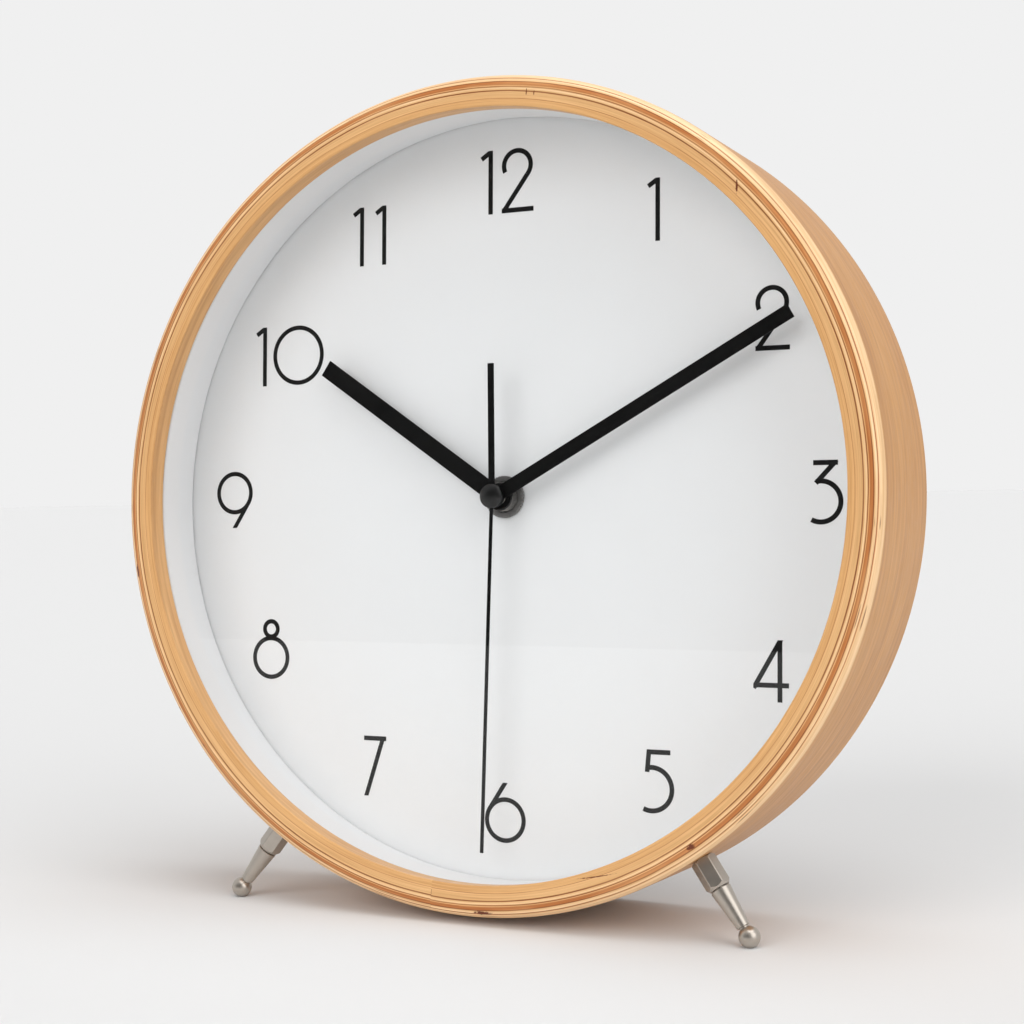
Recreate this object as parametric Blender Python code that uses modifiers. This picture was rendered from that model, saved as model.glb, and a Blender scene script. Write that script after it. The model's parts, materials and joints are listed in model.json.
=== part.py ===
"""Round mantel clock: a bent plywood hoop on two small feet, with a battery movement inside.

Everything is modelled in the clock's own frame and parented to one empty that leans it back.
In that frame +X is to the right, +Y is down the dial and +Z is the depth behind the front edge,
so a turned profile is a list of (radius, depth) pairs and a flat outline lies on the dial.
All sizes are in metres.
"""

import math

import bmesh
import bpy
from mathutils import Vector

# --- clearances -------------------------------------------------------------------------------
GAP = 0.0003             # between pieces that touch
RUNNING_FIT = 0.0001     # radial play of a shaft in its bore
LOOSE_FIT = 0.0003       # radial play of a screw or bush in its hole
EMBED = 0.0002           # how far joined shapes reach into each other
WELD = 0.000001          # points closer than this are one point
HEAD_TOP = 0.7           # flat top of a domed head, as a share of its radius

# --- case hoop --------------------------------------------------------------------------------
CASE_RADIUS = 0.112
CASE_DEPTH = 0.045
CASE_STEPS = 60          # facets round the hoop and the discs in it
CASE_WALL = 0.005
LIP_WIDTH = 0.0089       # front face of the hoop, across the plies
LIP_DEPTH = 0.0066
LIP_DRAFT = 0.0007       # how much the lip opens towards the glass
FRONT_ROUNDING = 0.0038
LIP_ROUNDING = 0.0004
REAR_CHAMFER = 0.0004
LEAN = math.radians(2.7)

# --- glass, liner and dial --------------------------------------------------------------------
GLASS_THICKNESS = 0.002
GLASS_BEVEL = 0.0003
LINER_WALL = 0.0013
LINER_LENGTH = 0.0146
DIAL_THICKNESS = 0.002

# --- back -------------------------------------------------------------------------------------
BACK_INSET = 0.0015      # back panel behind the hoop's rear edge
BACK_THICKNESS = 0.003
BACK_SCREW_ANGLES = tuple(math.radians(45 + 90 * quarter) for quarter in range(4))
BACK_SCREW_INSET = 0.0065
BACK_SCREW_RADIUS = 0.0014
BACK_SCREW_LENGTH = 0.010
BACK_SCREW_HEAD = (0.0028, 0.0009)
BLOCK_SIZE = (0.013, 0.016)

# --- legs -------------------------------------------------------------------------------------
LEG_ANGLE = math.radians(34)     # from the bottom of the hoop round to each leg
LEG_SPLAY = math.radians(36)     # leg against the vertical, seen from the front
LEG_TILT = math.radians(5)       # leg towards the front
LEG_ROOT_DEPTH = 0.010
FERRULE_ACROSS_FLATS = 0.006
FERRULE_LENGTH = 0.0087
FERRULE_STAND_OFF = 0.00065
FOOT_TOP_RADIUS = 0.00275
FOOT_NECK_RADIUS = 0.00175
FOOT_BALL_RADIUS = 0.0028
FOOT_FLAT_RADIUS = 0.001
FOOT_SPIGOT_LENGTH = 0.0024
LEG_SCREW_RADIUS = 0.0015
LEG_SCREW_LENGTH = 0.0095
LEG_SCREW_HEAD = (0.0029, 0.0014)

# --- movement case ----------------------------------------------------------------------------
RUBBER_RADIUS = 0.010
RUBBER_THICKNESS = 0.0007
GEAR_ROOM_ABOVE = 0.0268 # inside of the movement case over the dial axis
GEAR_ROOM_BELOW = 0.0108 # and under it, down to the battery's partition
MOVEMENT_DEPTH = 0.0151
MOVEMENT_WALL = 0.0012
MOVEMENT_CORNER = 0.003
BATTERY_RADIUS = 0.0071
BATTERY_LENGTH = 0.0505
BATTERY_PLAY = 0.0003
BATTERY_NUB = (0.0027, 0.0012)
BATTERY_SHOULDER = 0.0008
CONTACT_ROOM = 0.00155   # at each end of the battery
CONTACT_THICKNESS = 0.0004
CONTACT_HEIGHT = 0.008
CONTACT_DEPTH = 0.0104
CONTACT_BOW = 0.001
PLATE_THICKNESS = 0.0008
PLATE_CORNER = 0.001
POST_RADIUS = 0.0012

# --- stack on the dial axis -------------------------------------------------------------------
BUSH_WALL = 0.0014
BUSH_FLANGE = (0.0015, 0.0006)
BUSH_HEIGHT = 0.0045     # in front of the dial
NUT_WIDTH = 0.00185
NUT_THICKNESS = 0.0013
NUT_SERRATIONS = 40
SERRATION_DEPTH = 0.0003
HOUR_PIPE_RADIUS = 0.0025
MINUTE_PIPE_RADIUS = 0.0015
ARBOR_RADIUS = 0.0005
SHAFT_RADIUS = 0.001     # of the setting knob
WHEEL_POST_RADIUS = 0.0008
HUB_WALL = 0.0004
KNOB_RADIUS = 0.0045
KNOB_CHAMFER = 0.0005
KNOB_HEIGHT = 0.0016
HAND_THICKNESS = 0.0004

# --- hands: height in front of the dial, width, reach and clock angle --------------------------
HOUR_HAND = {"height": 0.0055, "width": 0.0050, "reach": 0.067, "angle": 304.3}
MINUTE_HAND = {"height": 0.0070, "width": 0.0039, "reach": 0.0958, "angle": 61.1}
SECOND_HAND = {"height": 0.0090, "width": 0.00095, "reach": 0.0972, "angle": 181.6}
TAIL = {"width": 0.0018, "reach": 0.0364, "angle": 359.3}
HAND_BOSS_WALL = 0.0010  # round the pipe that the hour or minute hand is pressed on
SECOND_BOSS = (0.0032, 0.0011)
CAP_RADIUS = 0.0033
CAP_HEIGHT = 0.0014
CAP_RIM = 0.0003         # straight edge under the dome

# --- gear pairs: (teeth, teeth, module) ---------------------------------------------------------
CANNON_TO_MINUTE = (12, 36, 0.00040)
SETTING_TO_MINUTE = (12, 36, 0.00040)
MINUTE_TO_HOUR = (10, 40, 0.000384)
SECONDS_TO_THIRD = (8, 60, 0.00030)
THIRD_TO_CENTRE = (8, 64, 0.00028333)
INTERMEDIATE_TO_SECONDS = (10, 50, 0.00028)
ROTOR_TO_INTERMEDIATE = (8, 48, 0.00025)
ADDENDUM = 0.8           # tooth above the pitch circle, in modules
DEDENDUM = 1.1           # tooth below it
TOOTH_ROOT = 0.27        # half the tooth at its root, in pitches

# Where the arbors stand round the ones they mesh with, clockwise from three o'clock.
TRAIN_ARBORS = ("main", "third", "intermediate", "rotor")
MINUTE_WHEEL_BEARING = math.radians(-20)
SETTING_BEARING = math.radians(30)
THIRD_BEARING = math.radians(210)
INTERMEDIATE_BEARING = math.radians(-60)
ROTOR_BEARING = math.radians(-20)

# --- motor and electronics ----------------------------------------------------------------------
MAGNET = (0.00275, 0.002)
STATOR_BORE = 0.00315
STATOR_RIM = 0.0012
STATOR_LEG = 0.003
STATOR_MARGIN = 0.0022
COIL_RADIUS = 0.0035
COIL_BORE = 0.0019
COIL_END_PLAY = 0.0008
COIL_FLANGE = 0.0006
CORE_WIDTH = 0.003
CORE_THICKNESS = 0.0006
BOARD_HEIGHT = 0.0155
BOARD_MARGIN = 0.0018
CRYSTAL = (0.001, 0.006)
CRYSTAL_INSET = (0.003, 0.0025)  # from the board's left and lower edges
CHIP = (0.0026, 0.0014)

# --- worked out from the values above -----------------------------------------------------------
REBATE_RADIUS = CASE_RADIUS - CASE_WALL
FITTED_RADIUS = REBATE_RADIUS - GAP
GLASS_FRONT = LIP_DEPTH + GAP
LINER_FRONT = GLASS_FRONT + GLASS_THICKNESS + GAP
DIAL_FRONT = LINER_FRONT + LINER_LENGTH + GAP
DIAL_BACK = DIAL_FRONT + DIAL_THICKNESS
RUBBER_FRONT = DIAL_BACK + GAP
MOVEMENT_FRONT = RUBBER_FRONT + RUBBER_THICKNESS + GAP
MOVEMENT_BACK = MOVEMENT_FRONT + MOVEMENT_DEPTH
FLOOR = MOVEMENT_FRONT + MOVEMENT_WALL
BACK_REAR = CASE_DEPTH - BACK_INSET
BACK_FRONT = BACK_REAR - BACK_THICKNESS
ROOM_HALF = BATTERY_LENGTH / 2 + CONTACT_ROOM
BAY_TOP = GEAR_ROOM_BELOW + MOVEMENT_WALL
BAY_BOTTOM = BAY_TOP + 2 * (BATTERY_RADIUS + BATTERY_PLAY)
MOVEMENT_LOW = (-ROOM_HALF - MOVEMENT_WALL, -GEAR_ROOM_ABOVE - MOVEMENT_WALL)
MOVEMENT_HIGH = (ROOM_HALF + MOVEMENT_WALL, BAY_BOTTOM + MOVEMENT_WALL)
BUSH_RADIUS = HOUR_PIPE_RADIUS + RUNNING_FIT + BUSH_WALL
LID_FRONT = MOVEMENT_BACK - MOVEMENT_WALL

# Depth of each layer of the movement, from the inside of its front wall.
FLANGE_FRONT = FLOOR + GAP
HOUR_LAYER = (FLOOR + 0.0012, 0.0008)
CANNON_LAYER = (FLOOR + 0.0025, 0.0008)
CENTRE_LAYER = (FLOOR + 0.0040, 0.0006)
THIRD_PINION_LAYER = (FLOOR + 0.0038, 0.0010)
MIDDLE_PLATE_FRONT = FLOOR + 0.0052
THIRD_LAYER = (FLOOR + 0.0066, 0.0006)
SECONDS_PINION_LAYER = (FLOOR + 0.0063, 0.0012)
STATOR_LAYER = (FLOOR + 0.0063, 0.0008)
SECONDS_LAYER = (FLOOR + 0.0081, 0.0006)
INTERMEDIATE_PINION_LAYER = (FLOOR + 0.0079, 0.0010)
INTERMEDIATE_LAYER = (FLOOR + 0.0095, 0.0006)
ROTOR_PINION_LAYER = (FLOOR + 0.0093, 0.0010)
BOARD_FRONT = FLOOR + 0.0100
ARBOR_END = MOVEMENT_BACK - MOVEMENT_WALL / 2

CLOCK = None             # the leaning empty that everything hangs on, made by build()


# --- materials ----------------------------------------------------------------------------------
FINISHES = {
    "plywood": ((0.62, 0.40, 0.21), 0.45, 0.0),
    "glass": ((0.85, 0.90, 0.90), 0.05, 0.0),
    "white_plastic": ((0.80, 0.80, 0.79), 0.4, 0.0),
    "dial_white": ((0.84, 0.84, 0.83), 0.6, 0.0),
    "fibreboard": ((0.30, 0.20, 0.12), 0.8, 0.0),
    "pine": ((0.66, 0.47, 0.27), 0.7, 0.0),
    "nickel": ((0.62, 0.61, 0.58), 0.3, 1.0),
    "steel": ((0.50, 0.50, 0.50), 0.35, 1.0),
    "brass": ((0.70, 0.52, 0.22), 0.3, 1.0),
    "black_paint": ((0.02, 0.02, 0.02), 0.4, 0.0),
    "black_plastic": ((0.03, 0.03, 0.03), 0.5, 0.0),
    "grey_metal": ((0.42, 0.42, 0.41), 0.4, 1.0),
    "white_gear": ((0.78, 0.76, 0.70), 0.45, 0.0),
    "magnet": ((0.16, 0.16, 0.17), 0.4, 1.0),
    "copper": ((0.72, 0.34, 0.16), 0.35, 1.0),
    "board": ((0.05, 0.24, 0.12), 0.5, 0.0),
    "rubber": ((0.04, 0.04, 0.04), 0.85, 0.0),
    "battery_wrap": ((0.08, 0.22, 0.16), 0.35, 0.0),
}


def finish(name):
    """Material of that name, made once."""
    material = bpy.data.materials.get(name)
    if material is None:
        colour, roughness, metallic = FINISHES[name]
        material = bpy.data.materials.new(name)
        material.use_nodes = True
        shader = material.node_tree.nodes["Principled BSDF"]
        shader.inputs["Base Color"].default_value = (*colour, 1.0)
        shader.inputs["Roughness"].default_value = roughness
        shader.inputs["Metallic"].default_value = metallic
    return material


# --- shapes -------------------------------------------------------------------------------------
def add_object(name, data, surface=None, place=(0, 0, 0), parent=None):
    """Put a mesh or curve into the clock; without a surface it is a cutter or an operand."""
    obj = bpy.data.objects.new(name, data)
    if surface is None:
        bpy.data.collections["cutters"].objects.link(obj)
        obj.hide_render = True
        obj.display_type = "WIRE"
    else:
        bpy.data.collections["mantel_clock"].objects.link(obj)
        data.materials.append(finish(surface))
    obj.parent = parent or CLOCK
    obj.location = place
    return obj


def turned(name, profile, surface=None, place=(0, 0, 0), steps=48, closed=True):
    """Profile of (radius, depth) turned about the depth axis.

    It runs rear to front down its outer side. An open profile starts and ends on the axis.
    """
    mesh = bpy.data.meshes.new(name)
    count = len(profile)
    edges = [(index, index + 1) for index in range(count - 1)]
    if closed:
        edges.append((count - 1, 0))
    mesh.from_pydata([(radius, 0, depth) for radius, depth in profile], edges, [])
    obj = add_object(name, mesh, surface, place)
    screw = obj.modifiers.new("turn", "SCREW")
    screw.axis = "Z"
    screw.angle = math.tau
    screw.steps = steps
    screw.render_steps = steps
    screw.use_merge_vertices = True
    screw.merge_threshold = WELD
    screw.use_smooth_shade = True
    return obj


def ring(inner, outer, front, rear):
    """Profile of a plain ring."""
    return [(outer, rear), (outer, front), (inner, front), (inner, rear)]


def rod(radius, front, rear):
    """Open profile of a plain solid rod."""
    return [(0, rear), (radius, rear), (radius, front), (0, front)]


def flat(name, loops, front, thickness, surface=None, place=(0, 0)):
    """Closed outlines extruded to a plate, as a mesh with its caps welded."""
    curve = bpy.data.curves.new(name, "CURVE")
    curve.dimensions = "2D"
    curve.fill_mode = "BOTH"
    curve.extrude = thickness / 2
    for loop in loops:
        spline = curve.splines.new("POLY")
        spline.points.add(len(loop) - 1)
        for point, (x, y) in zip(spline.points, loop):
            point.co = (x, y, 0, 1)
        spline.use_cyclic_u = True
    outline = add_object(name + "_outline", curve)
    bpy.context.view_layer.update()
    evaluated = outline.evaluated_get(bpy.context.evaluated_depsgraph_get())
    mesh = bpy.data.meshes.new_from_object(evaluated)
    mesh.materials.clear()
    shape = bmesh.new()
    shape.from_mesh(mesh)
    bmesh.ops.remove_doubles(shape, verts=shape.verts, dist=WELD)
    shape.to_mesh(mesh)
    shape.free()
    bpy.data.objects.remove(outline, do_unlink=True)
    return add_object(name, mesh, surface, (place[0], place[1], front + thickness / 2))


def block(name, low, high, surface=None, bevel=0.0):
    """Box between two corners."""
    shape = bmesh.new()
    bmesh.ops.create_cube(shape, size=1.0)
    size = [high[axis] - low[axis] for axis in range(3)]
    middle = [(high[axis] + low[axis]) / 2 for axis in range(3)]
    bmesh.ops.scale(shape, vec=size, verts=shape.verts)
    mesh = bpy.data.meshes.new(name)
    shape.to_mesh(mesh)
    shape.free()
    obj = add_object(name, mesh, surface, middle)
    if bevel:
        modifier = obj.modifiers.new("edges", "BEVEL")
        modifier.width = bevel
        modifier.segments = 1
    return obj


def circle(radius, steps, centre=(0, 0)):
    """Points of a circle on the dial plane."""
    angles = [math.tau * step / steps for step in range(steps)]
    return [(centre[0] + radius * math.cos(a), centre[1] + radius * math.sin(a)) for a in angles]


def rounded_box(low, high, radius, steps=4):
    """Outline of a rectangle with round corners."""
    corners = (
        (high[0] - radius, high[1] - radius, 0),
        (low[0] + radius, high[1] - radius, 90),
        (low[0] + radius, low[1] + radius, 180),
        (high[0] - radius, low[1] + radius, 270),
    )
    points = []
    for x, y, start in corners:
        for step in range(steps + 1):
            angle = math.radians(start + 90 * step / steps)
            points.append((x + radius * math.cos(angle), y + radius * math.sin(angle)))
    return points


def boolean(obj, operand, operation):
    """Cut an operand from an object, or join it on."""
    modifier = obj.modifiers.new(operand.name, "BOOLEAN")
    modifier.operation = operation
    modifier.solver = "EXACT"
    modifier.object = operand


def cut(obj, *operands):
    for operand in operands:
        boolean(obj, operand, "DIFFERENCE")


def join(obj, *operands):
    for operand in operands:
        boolean(obj, operand, "UNION")


# --- gears --------------------------------------------------------------------------------------
def centre_distance(pair):
    return (pair[0] + pair[1]) * pair[2] / 2


def beside(centre, pair, bearing):
    """Centre of the gear that meshes with the one at centre, in that direction."""
    reach = centre_distance(pair)
    return (centre[0] + reach * math.cos(bearing), centre[1] + reach * math.sin(bearing))


def mesh_phase(pair, phase, bearing, driver=0):
    """Turn of the other gear, at that bearing, that puts its gap on this gear's tooth."""
    passed = (bearing - phase) * pair[driver] / math.tau
    return bearing + math.pi - (0.5 - passed) * math.tau / pair[1 - driver]


def gear_outline(teeth, module, phase):
    """Pointed, straight-sided teeth, narrower than their gaps."""
    pitch_radius = teeth * module / 2
    tip = pitch_radius + ADDENDUM * module
    root = pitch_radius - DEDENDUM * module
    flanks = ((root, -TOOTH_ROOT), (tip, 0.0), (root, TOOTH_ROOT))
    points = []
    for tooth in range(teeth):
        for radius, offset in flanks:
            angle = phase + (tooth + offset) * math.tau / teeth
            points.append((radius * math.cos(angle), radius * math.sin(angle)))
    return points


def gear(name, pair, side, phase, layer, place=(0, 0), hole=0.0):
    """Toothed plate in a layer of the movement, to be joined to its arbor.

    Side 0 is the pinion of the pair, and side 1 the wheel that it meshes with.
    """
    loops = [gear_outline(pair[side], pair[2], phase)]
    if hole:
        loops.append(circle(hole, 16))
    return flat(name, loops, layer[0], layer[1], None, place)


# --- the case -----------------------------------------------------------------------------------
def arc(centre, radius, start, end, steps):
    """Points of an arc in a (radius, depth) profile, with angles in degrees."""
    points = []
    for step in range(steps + 1):
        angle = math.radians(start + (end - start) * step / steps)
        points.append((centre[0] + radius * math.cos(angle), centre[1] + radius * math.sin(angle)))
    return points


def case_ring():
    """Hoop with a rounded front edge and a lip that the glass rests on."""
    lip_radius = CASE_RADIUS - LIP_WIDTH
    profile = [(CASE_RADIUS - REAR_CHAMFER, CASE_DEPTH), (CASE_RADIUS, CASE_DEPTH - REAR_CHAMFER)]
    outer_centre = (CASE_RADIUS - FRONT_ROUNDING, FRONT_ROUNDING)
    profile += arc(outer_centre, FRONT_ROUNDING, 0, -90, 4)
    inner_centre = (lip_radius + LIP_ROUNDING, LIP_ROUNDING)
    profile += arc(inner_centre, LIP_ROUNDING, -90, -180, 1)
    profile.append((lip_radius + LIP_DRAFT, LIP_DEPTH))
    profile.append((REBATE_RADIUS, LIP_DEPTH))
    profile.append((REBATE_RADIUS, CASE_DEPTH))
    return turned("case_ring", profile, "plywood", steps=CASE_STEPS)


def glass_lens():
    rear = GLASS_FRONT + GLASS_THICKNESS
    edge = FITTED_RADIUS - GLASS_BEVEL
    profile = [(0, rear), (edge, rear), (FITTED_RADIUS, rear - GLASS_BEVEL)]
    profile += [(FITTED_RADIUS, GLASS_FRONT + GLASS_BEVEL), (edge, GLASS_FRONT), (0, GLASS_FRONT)]
    return turned("glass_lens", profile, "glass", steps=CASE_STEPS, closed=False)


def liner_ring():
    profile = ring(FITTED_RADIUS - LINER_WALL, FITTED_RADIUS, LINER_FRONT, LINER_FRONT + LINER_LENGTH)
    return turned("liner_ring", profile, "white_plastic", steps=CASE_STEPS)


def dial_plate():
    profile = ring(BUSH_RADIUS + LOOSE_FIT, FITTED_RADIUS, DIAL_FRONT, DIAL_BACK)
    return turned("dial_plate", profile, "dial_white", steps=CASE_STEPS)


def polar(radius, angle):
    return (radius * math.cos(angle), radius * math.sin(angle))


def back():
    """Back panel with the movement's opening, its four blocks and their screws."""
    screw_circle = REBATE_RADIUS - BACK_SCREW_INSET
    margin = 2 * GAP
    low = [side - margin for side in MOVEMENT_LOW]
    high = [side + margin for side in MOVEMENT_HIGH]
    opening = rounded_box(low, high, MOVEMENT_CORNER + margin)
    loops = [circle(FITTED_RADIUS, CASE_STEPS), opening]
    for angle in BACK_SCREW_ANGLES:
        loops.append(circle(BACK_SCREW_RADIUS + LOOSE_FIT, 12, polar(screw_circle, angle)))
    flat("back_panel", loops, BACK_FRONT, BACK_THICKNESS, "fibreboard")
    head_radius, head_height = BACK_SCREW_HEAD
    head_front = BACK_REAR + GAP
    tip = head_front - BACK_SCREW_LENGTH
    block_front = DIAL_BACK + GAP
    block_rear = BACK_FRONT - GAP
    for number, angle in enumerate(BACK_SCREW_ANGLES, start=1):
        place = (*polar(screw_circle, angle), 0)
        profile = [
            (0, head_front + head_height),
            (head_radius * HEAD_TOP, head_front + head_height),
            (head_radius, head_front + head_height / 3),
            (head_radius, head_front),
            (BACK_SCREW_RADIUS, head_front),
            (BACK_SCREW_RADIUS, tip + BACK_SCREW_RADIUS * 2),
            (0, tip),
        ]
        turned(f"back_panel_screw_{number}", profile, "steel", place, steps=12, closed=False)
        radial, across = BLOCK_SIZE
        outer = FITTED_RADIUS * math.cos(math.asin(across / 2 / FITTED_RADIUS))
        outline = [
            (outer - radial, -across / 2),
            (outer, -across / 2),
            (FITTED_RADIUS, 0),
            (outer, across / 2),
            (outer - radial, across / 2),
        ]
        hole = circle(BACK_SCREW_RADIUS + LOOSE_FIT, 12, (screw_circle, 0))
        piece = flat(
            f"back_block_{number}", [outline, hole], block_front, block_rear - block_front, "pine"
        )
        piece.rotation_euler = (0, 0, angle)


# --- legs ---------------------------------------------------------------------------------------
def ground_height():
    """Height of the dial axis, at the front edge, over the table."""
    rear_edge = CASE_DEPTH - REAR_CHAMFER
    return CASE_RADIUS * math.cos(LEAN) + rear_edge * math.sin(LEAN)


def leg_line(side):
    """Root of a leg on the hoop, its direction, and its length to the ball's centre."""
    root = Vector((
        side * CASE_RADIUS * math.sin(LEG_ANGLE),
        CASE_RADIUS * math.cos(LEG_ANGLE),
        LEG_ROOT_DEPTH,
    ))
    forward = math.sin(LEG_TILT)
    sideways = math.cos(LEG_TILT) * math.sin(LEG_SPLAY)
    down = math.cos(LEG_TILT) * math.cos(LEG_SPLAY)
    direction = Vector((side * sideways, down, -forward))
    ball_height = math.sqrt(FOOT_BALL_RADIUS**2 - FOOT_FLAT_RADIUS**2)
    drop = ground_height() - ball_height
    root_drop = root.y * math.cos(LEAN) + root.z * math.sin(LEAN)
    drop_rate = direction.y * math.cos(LEAN) + direction.z * math.sin(LEAN)
    return root, direction, (drop - root_drop) / drop_rate


def lay_on_leg(obj, root, direction):
    """Stand an object's depth axis on a leg's line, with its origin on the hoop."""
    obj.rotation_mode = "QUATERNION"
    obj.rotation_quaternion = direction.to_track_quat("Z", "Y")
    obj.location = root


def leg(side, word, hoop):
    """Ferrule, foot and screw of one leg, and the hole for the screw."""
    root, direction, length = leg_line(side)
    bore = LEG_SCREW_RADIUS + LOOSE_FIT

    corner_radius = FERRULE_ACROSS_FLATS / math.sqrt(3)
    sleeve_length = FERRULE_LENGTH - FERRULE_STAND_OFF
    ferrule = flat(
        f"leg_ferrule_{word}",
        [circle(corner_radius, 6), circle(bore, 16)],
        0,
        sleeve_length,
        "nickel",
    )
    lay_on_leg(ferrule, root + direction * (FERRULE_STAND_OFF + sleeve_length / 2), direction)

    taper_top = FERRULE_LENGTH + GAP
    neck = length - math.sqrt(FOOT_BALL_RADIUS**2 - FOOT_NECK_RADIUS**2)
    spigot = LEG_SCREW_RADIUS
    profile = [
        (spigot, FERRULE_LENGTH - FOOT_SPIGOT_LENGTH),
        (spigot, taper_top),
        (FOOT_TOP_RADIUS, taper_top),
    ]
    start = math.degrees(math.asin((neck - length) / FOOT_BALL_RADIUS))
    profile += arc((0, length), FOOT_BALL_RADIUS, start, 60, 6)
    profile.append((0, length + FOOT_BALL_RADIUS))
    profile.insert(0, (0, FERRULE_LENGTH - FOOT_SPIGOT_LENGTH))
    foot = turned(f"foot_{word}", profile[::-1], "nickel", steps=18, closed=False)
    lay_on_leg(foot, root, direction)
    cut(foot, bpy.data.objects["table"])

    head_radius, head_height = LEG_SCREW_HEAD
    head_end = -CASE_WALL + 2 * GAP
    profile = [
        (0, head_end + LEG_SCREW_LENGTH),
        (LEG_SCREW_RADIUS, head_end + LEG_SCREW_LENGTH),
        (LEG_SCREW_RADIUS, head_end + head_height),
        (head_radius, head_end),
        (0, head_end),
    ]
    screw = turned(f"leg_screw_{word}", profile, "steel", steps=16, closed=False)
    lay_on_leg(screw, root, direction)

    shaft = [
        (0, CASE_WALL),
        (bore, CASE_WALL),
        (bore, head_end + head_height - GAP),
        (head_radius + LOOSE_FIT, head_end - GAP),
        (head_radius + LOOSE_FIT, -2 * CASE_WALL),
        (0, -2 * CASE_WALL),
    ]
    drill = turned(f"leg_drill_{word}", shaft, steps=16, closed=False)
    lay_on_leg(drill, root, direction)
    cut(hoop, drill)


# --- movement -----------------------------------------------------------------------------------
def movement_places():
    """Centres of the arbors on the dial plane."""
    main = (0.0, 0.0)
    minute = beside(main, CANNON_TO_MINUTE, MINUTE_WHEEL_BEARING)
    intermediate = beside(main, INTERMEDIATE_TO_SECONDS, INTERMEDIATE_BEARING)
    return {
        "main": main,
        "minute": minute,
        "setting": beside(minute, SETTING_TO_MINUTE, SETTING_BEARING),
        "third": beside(main, SECONDS_TO_THIRD, THIRD_BEARING),
        "intermediate": intermediate,
        "rotor": beside(intermediate, ROTOR_TO_INTERMEDIATE, ROTOR_BEARING),
    }


def plate_posts():
    """Where the middle plate stands on the front case, at the corners of its outline."""
    low, high = plate_corners()
    inset = 2 * POST_RADIUS
    columns = (low[0] + inset, high[0] - inset)
    rows = (low[1] + inset, high[1] - inset)
    return [(x, y) for x in columns for y in rows]


def plate_corners():
    places = movement_places()
    left = places["third"][0] - centre_distance(SECONDS_TO_THIRD) - GAP
    right = places["setting"][0] + 4 * POST_RADIUS
    rotor_top = places["rotor"][1] - STATOR_BORE
    return (left, rotor_top - 2 * POST_RADIUS), (right, GEAR_ROOM_BELOW - GAP)


def board_corners():
    """The board fills the corner beside the intermediate wheel."""
    teeth, module = ROTOR_TO_INTERMEDIATE[1:]
    wheel_left = movement_places()["intermediate"][0] - (teeth / 2 + ADDENDUM) * module
    low = (-ROOM_HALF + BOARD_MARGIN, -GEAR_ROOM_ABOVE + BOARD_MARGIN)
    return low, (wheel_left - BOARD_MARGIN, low[1] + BOARD_HEIGHT)


def board_posts():
    low, high = board_corners()
    inset = 2 * POST_RADIUS
    return [(low[0] + inset, low[1] + inset), (high[0] - inset, low[1] + inset)]


def movement_case():
    """Front case with its posts and two rooms, and the lid over the gears."""
    hole = circle(BUSH_RADIUS + LOOSE_FIT, 32)
    case = flat(
        "movement_front_case",
        [rounded_box(MOVEMENT_LOW, MOVEMENT_HIGH, MOVEMENT_CORNER), hole],
        MOVEMENT_FRONT,
        MOVEMENT_DEPTH,
        "black_plastic",
    )
    past = MOVEMENT_BACK + MOVEMENT_WALL
    room_low = (-ROOM_HALF, -GEAR_ROOM_ABOVE)
    room = block("gear_room", (*room_low, FLOOR), (ROOM_HALF, GEAR_ROOM_BELOW, past))
    bay = block("battery_bay", (-ROOM_HALF, BAY_TOP, FLOOR), (ROOM_HALF, BAY_BOTTOM, past))
    cut(case, room, bay)
    places = movement_places()
    start = FLOOR - EMBED * 2
    wheel_post = rod(WHEEL_POST_RADIUS, start, end(CANNON_LAYER) + GAP / 2)
    join(case, turned("wheel_post", wheel_post, None, (*places["minute"], 0), 16, False))
    for number, (x, y) in enumerate(plate_posts(), start=1):
        profile = rod(POST_RADIUS, start, MIDDLE_PLATE_FRONT - GAP)
        join(case, turned(f"plate_post_{number}", profile, None, (x, y, 0), 12, False))
    for number, (x, y) in enumerate(board_posts(), start=1):
        profile = rod(POST_RADIUS, start, BOARD_FRONT - GAP)
        join(case, turned(f"board_post_{number}", profile, None, (x, y, 0), 12, False))

    bearing = ARBOR_RADIUS + RUNNING_FIT
    bearings = [circle(bearing, 12, places[arbor]) for arbor in TRAIN_ARBORS]
    bearings.append(circle(SHAFT_RADIUS + RUNNING_FIT, 16, places["setting"]))
    low = (room_low[0] + GAP, room_low[1] + GAP)
    high = (ROOM_HALF - GAP, GEAR_ROOM_BELOW - GAP)
    lid = [rounded_box(low, high, PLATE_CORNER, 2)]
    flat("movement_back_case", lid + bearings, LID_FRONT, MOVEMENT_WALL, "black_plastic")
    plate = [rounded_box(*plate_corners(), PLATE_CORNER, 2)]
    flat("middle_plate", plate + bearings, MIDDLE_PLATE_FRONT, PLATE_THICKNESS, "white_plastic")


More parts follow.
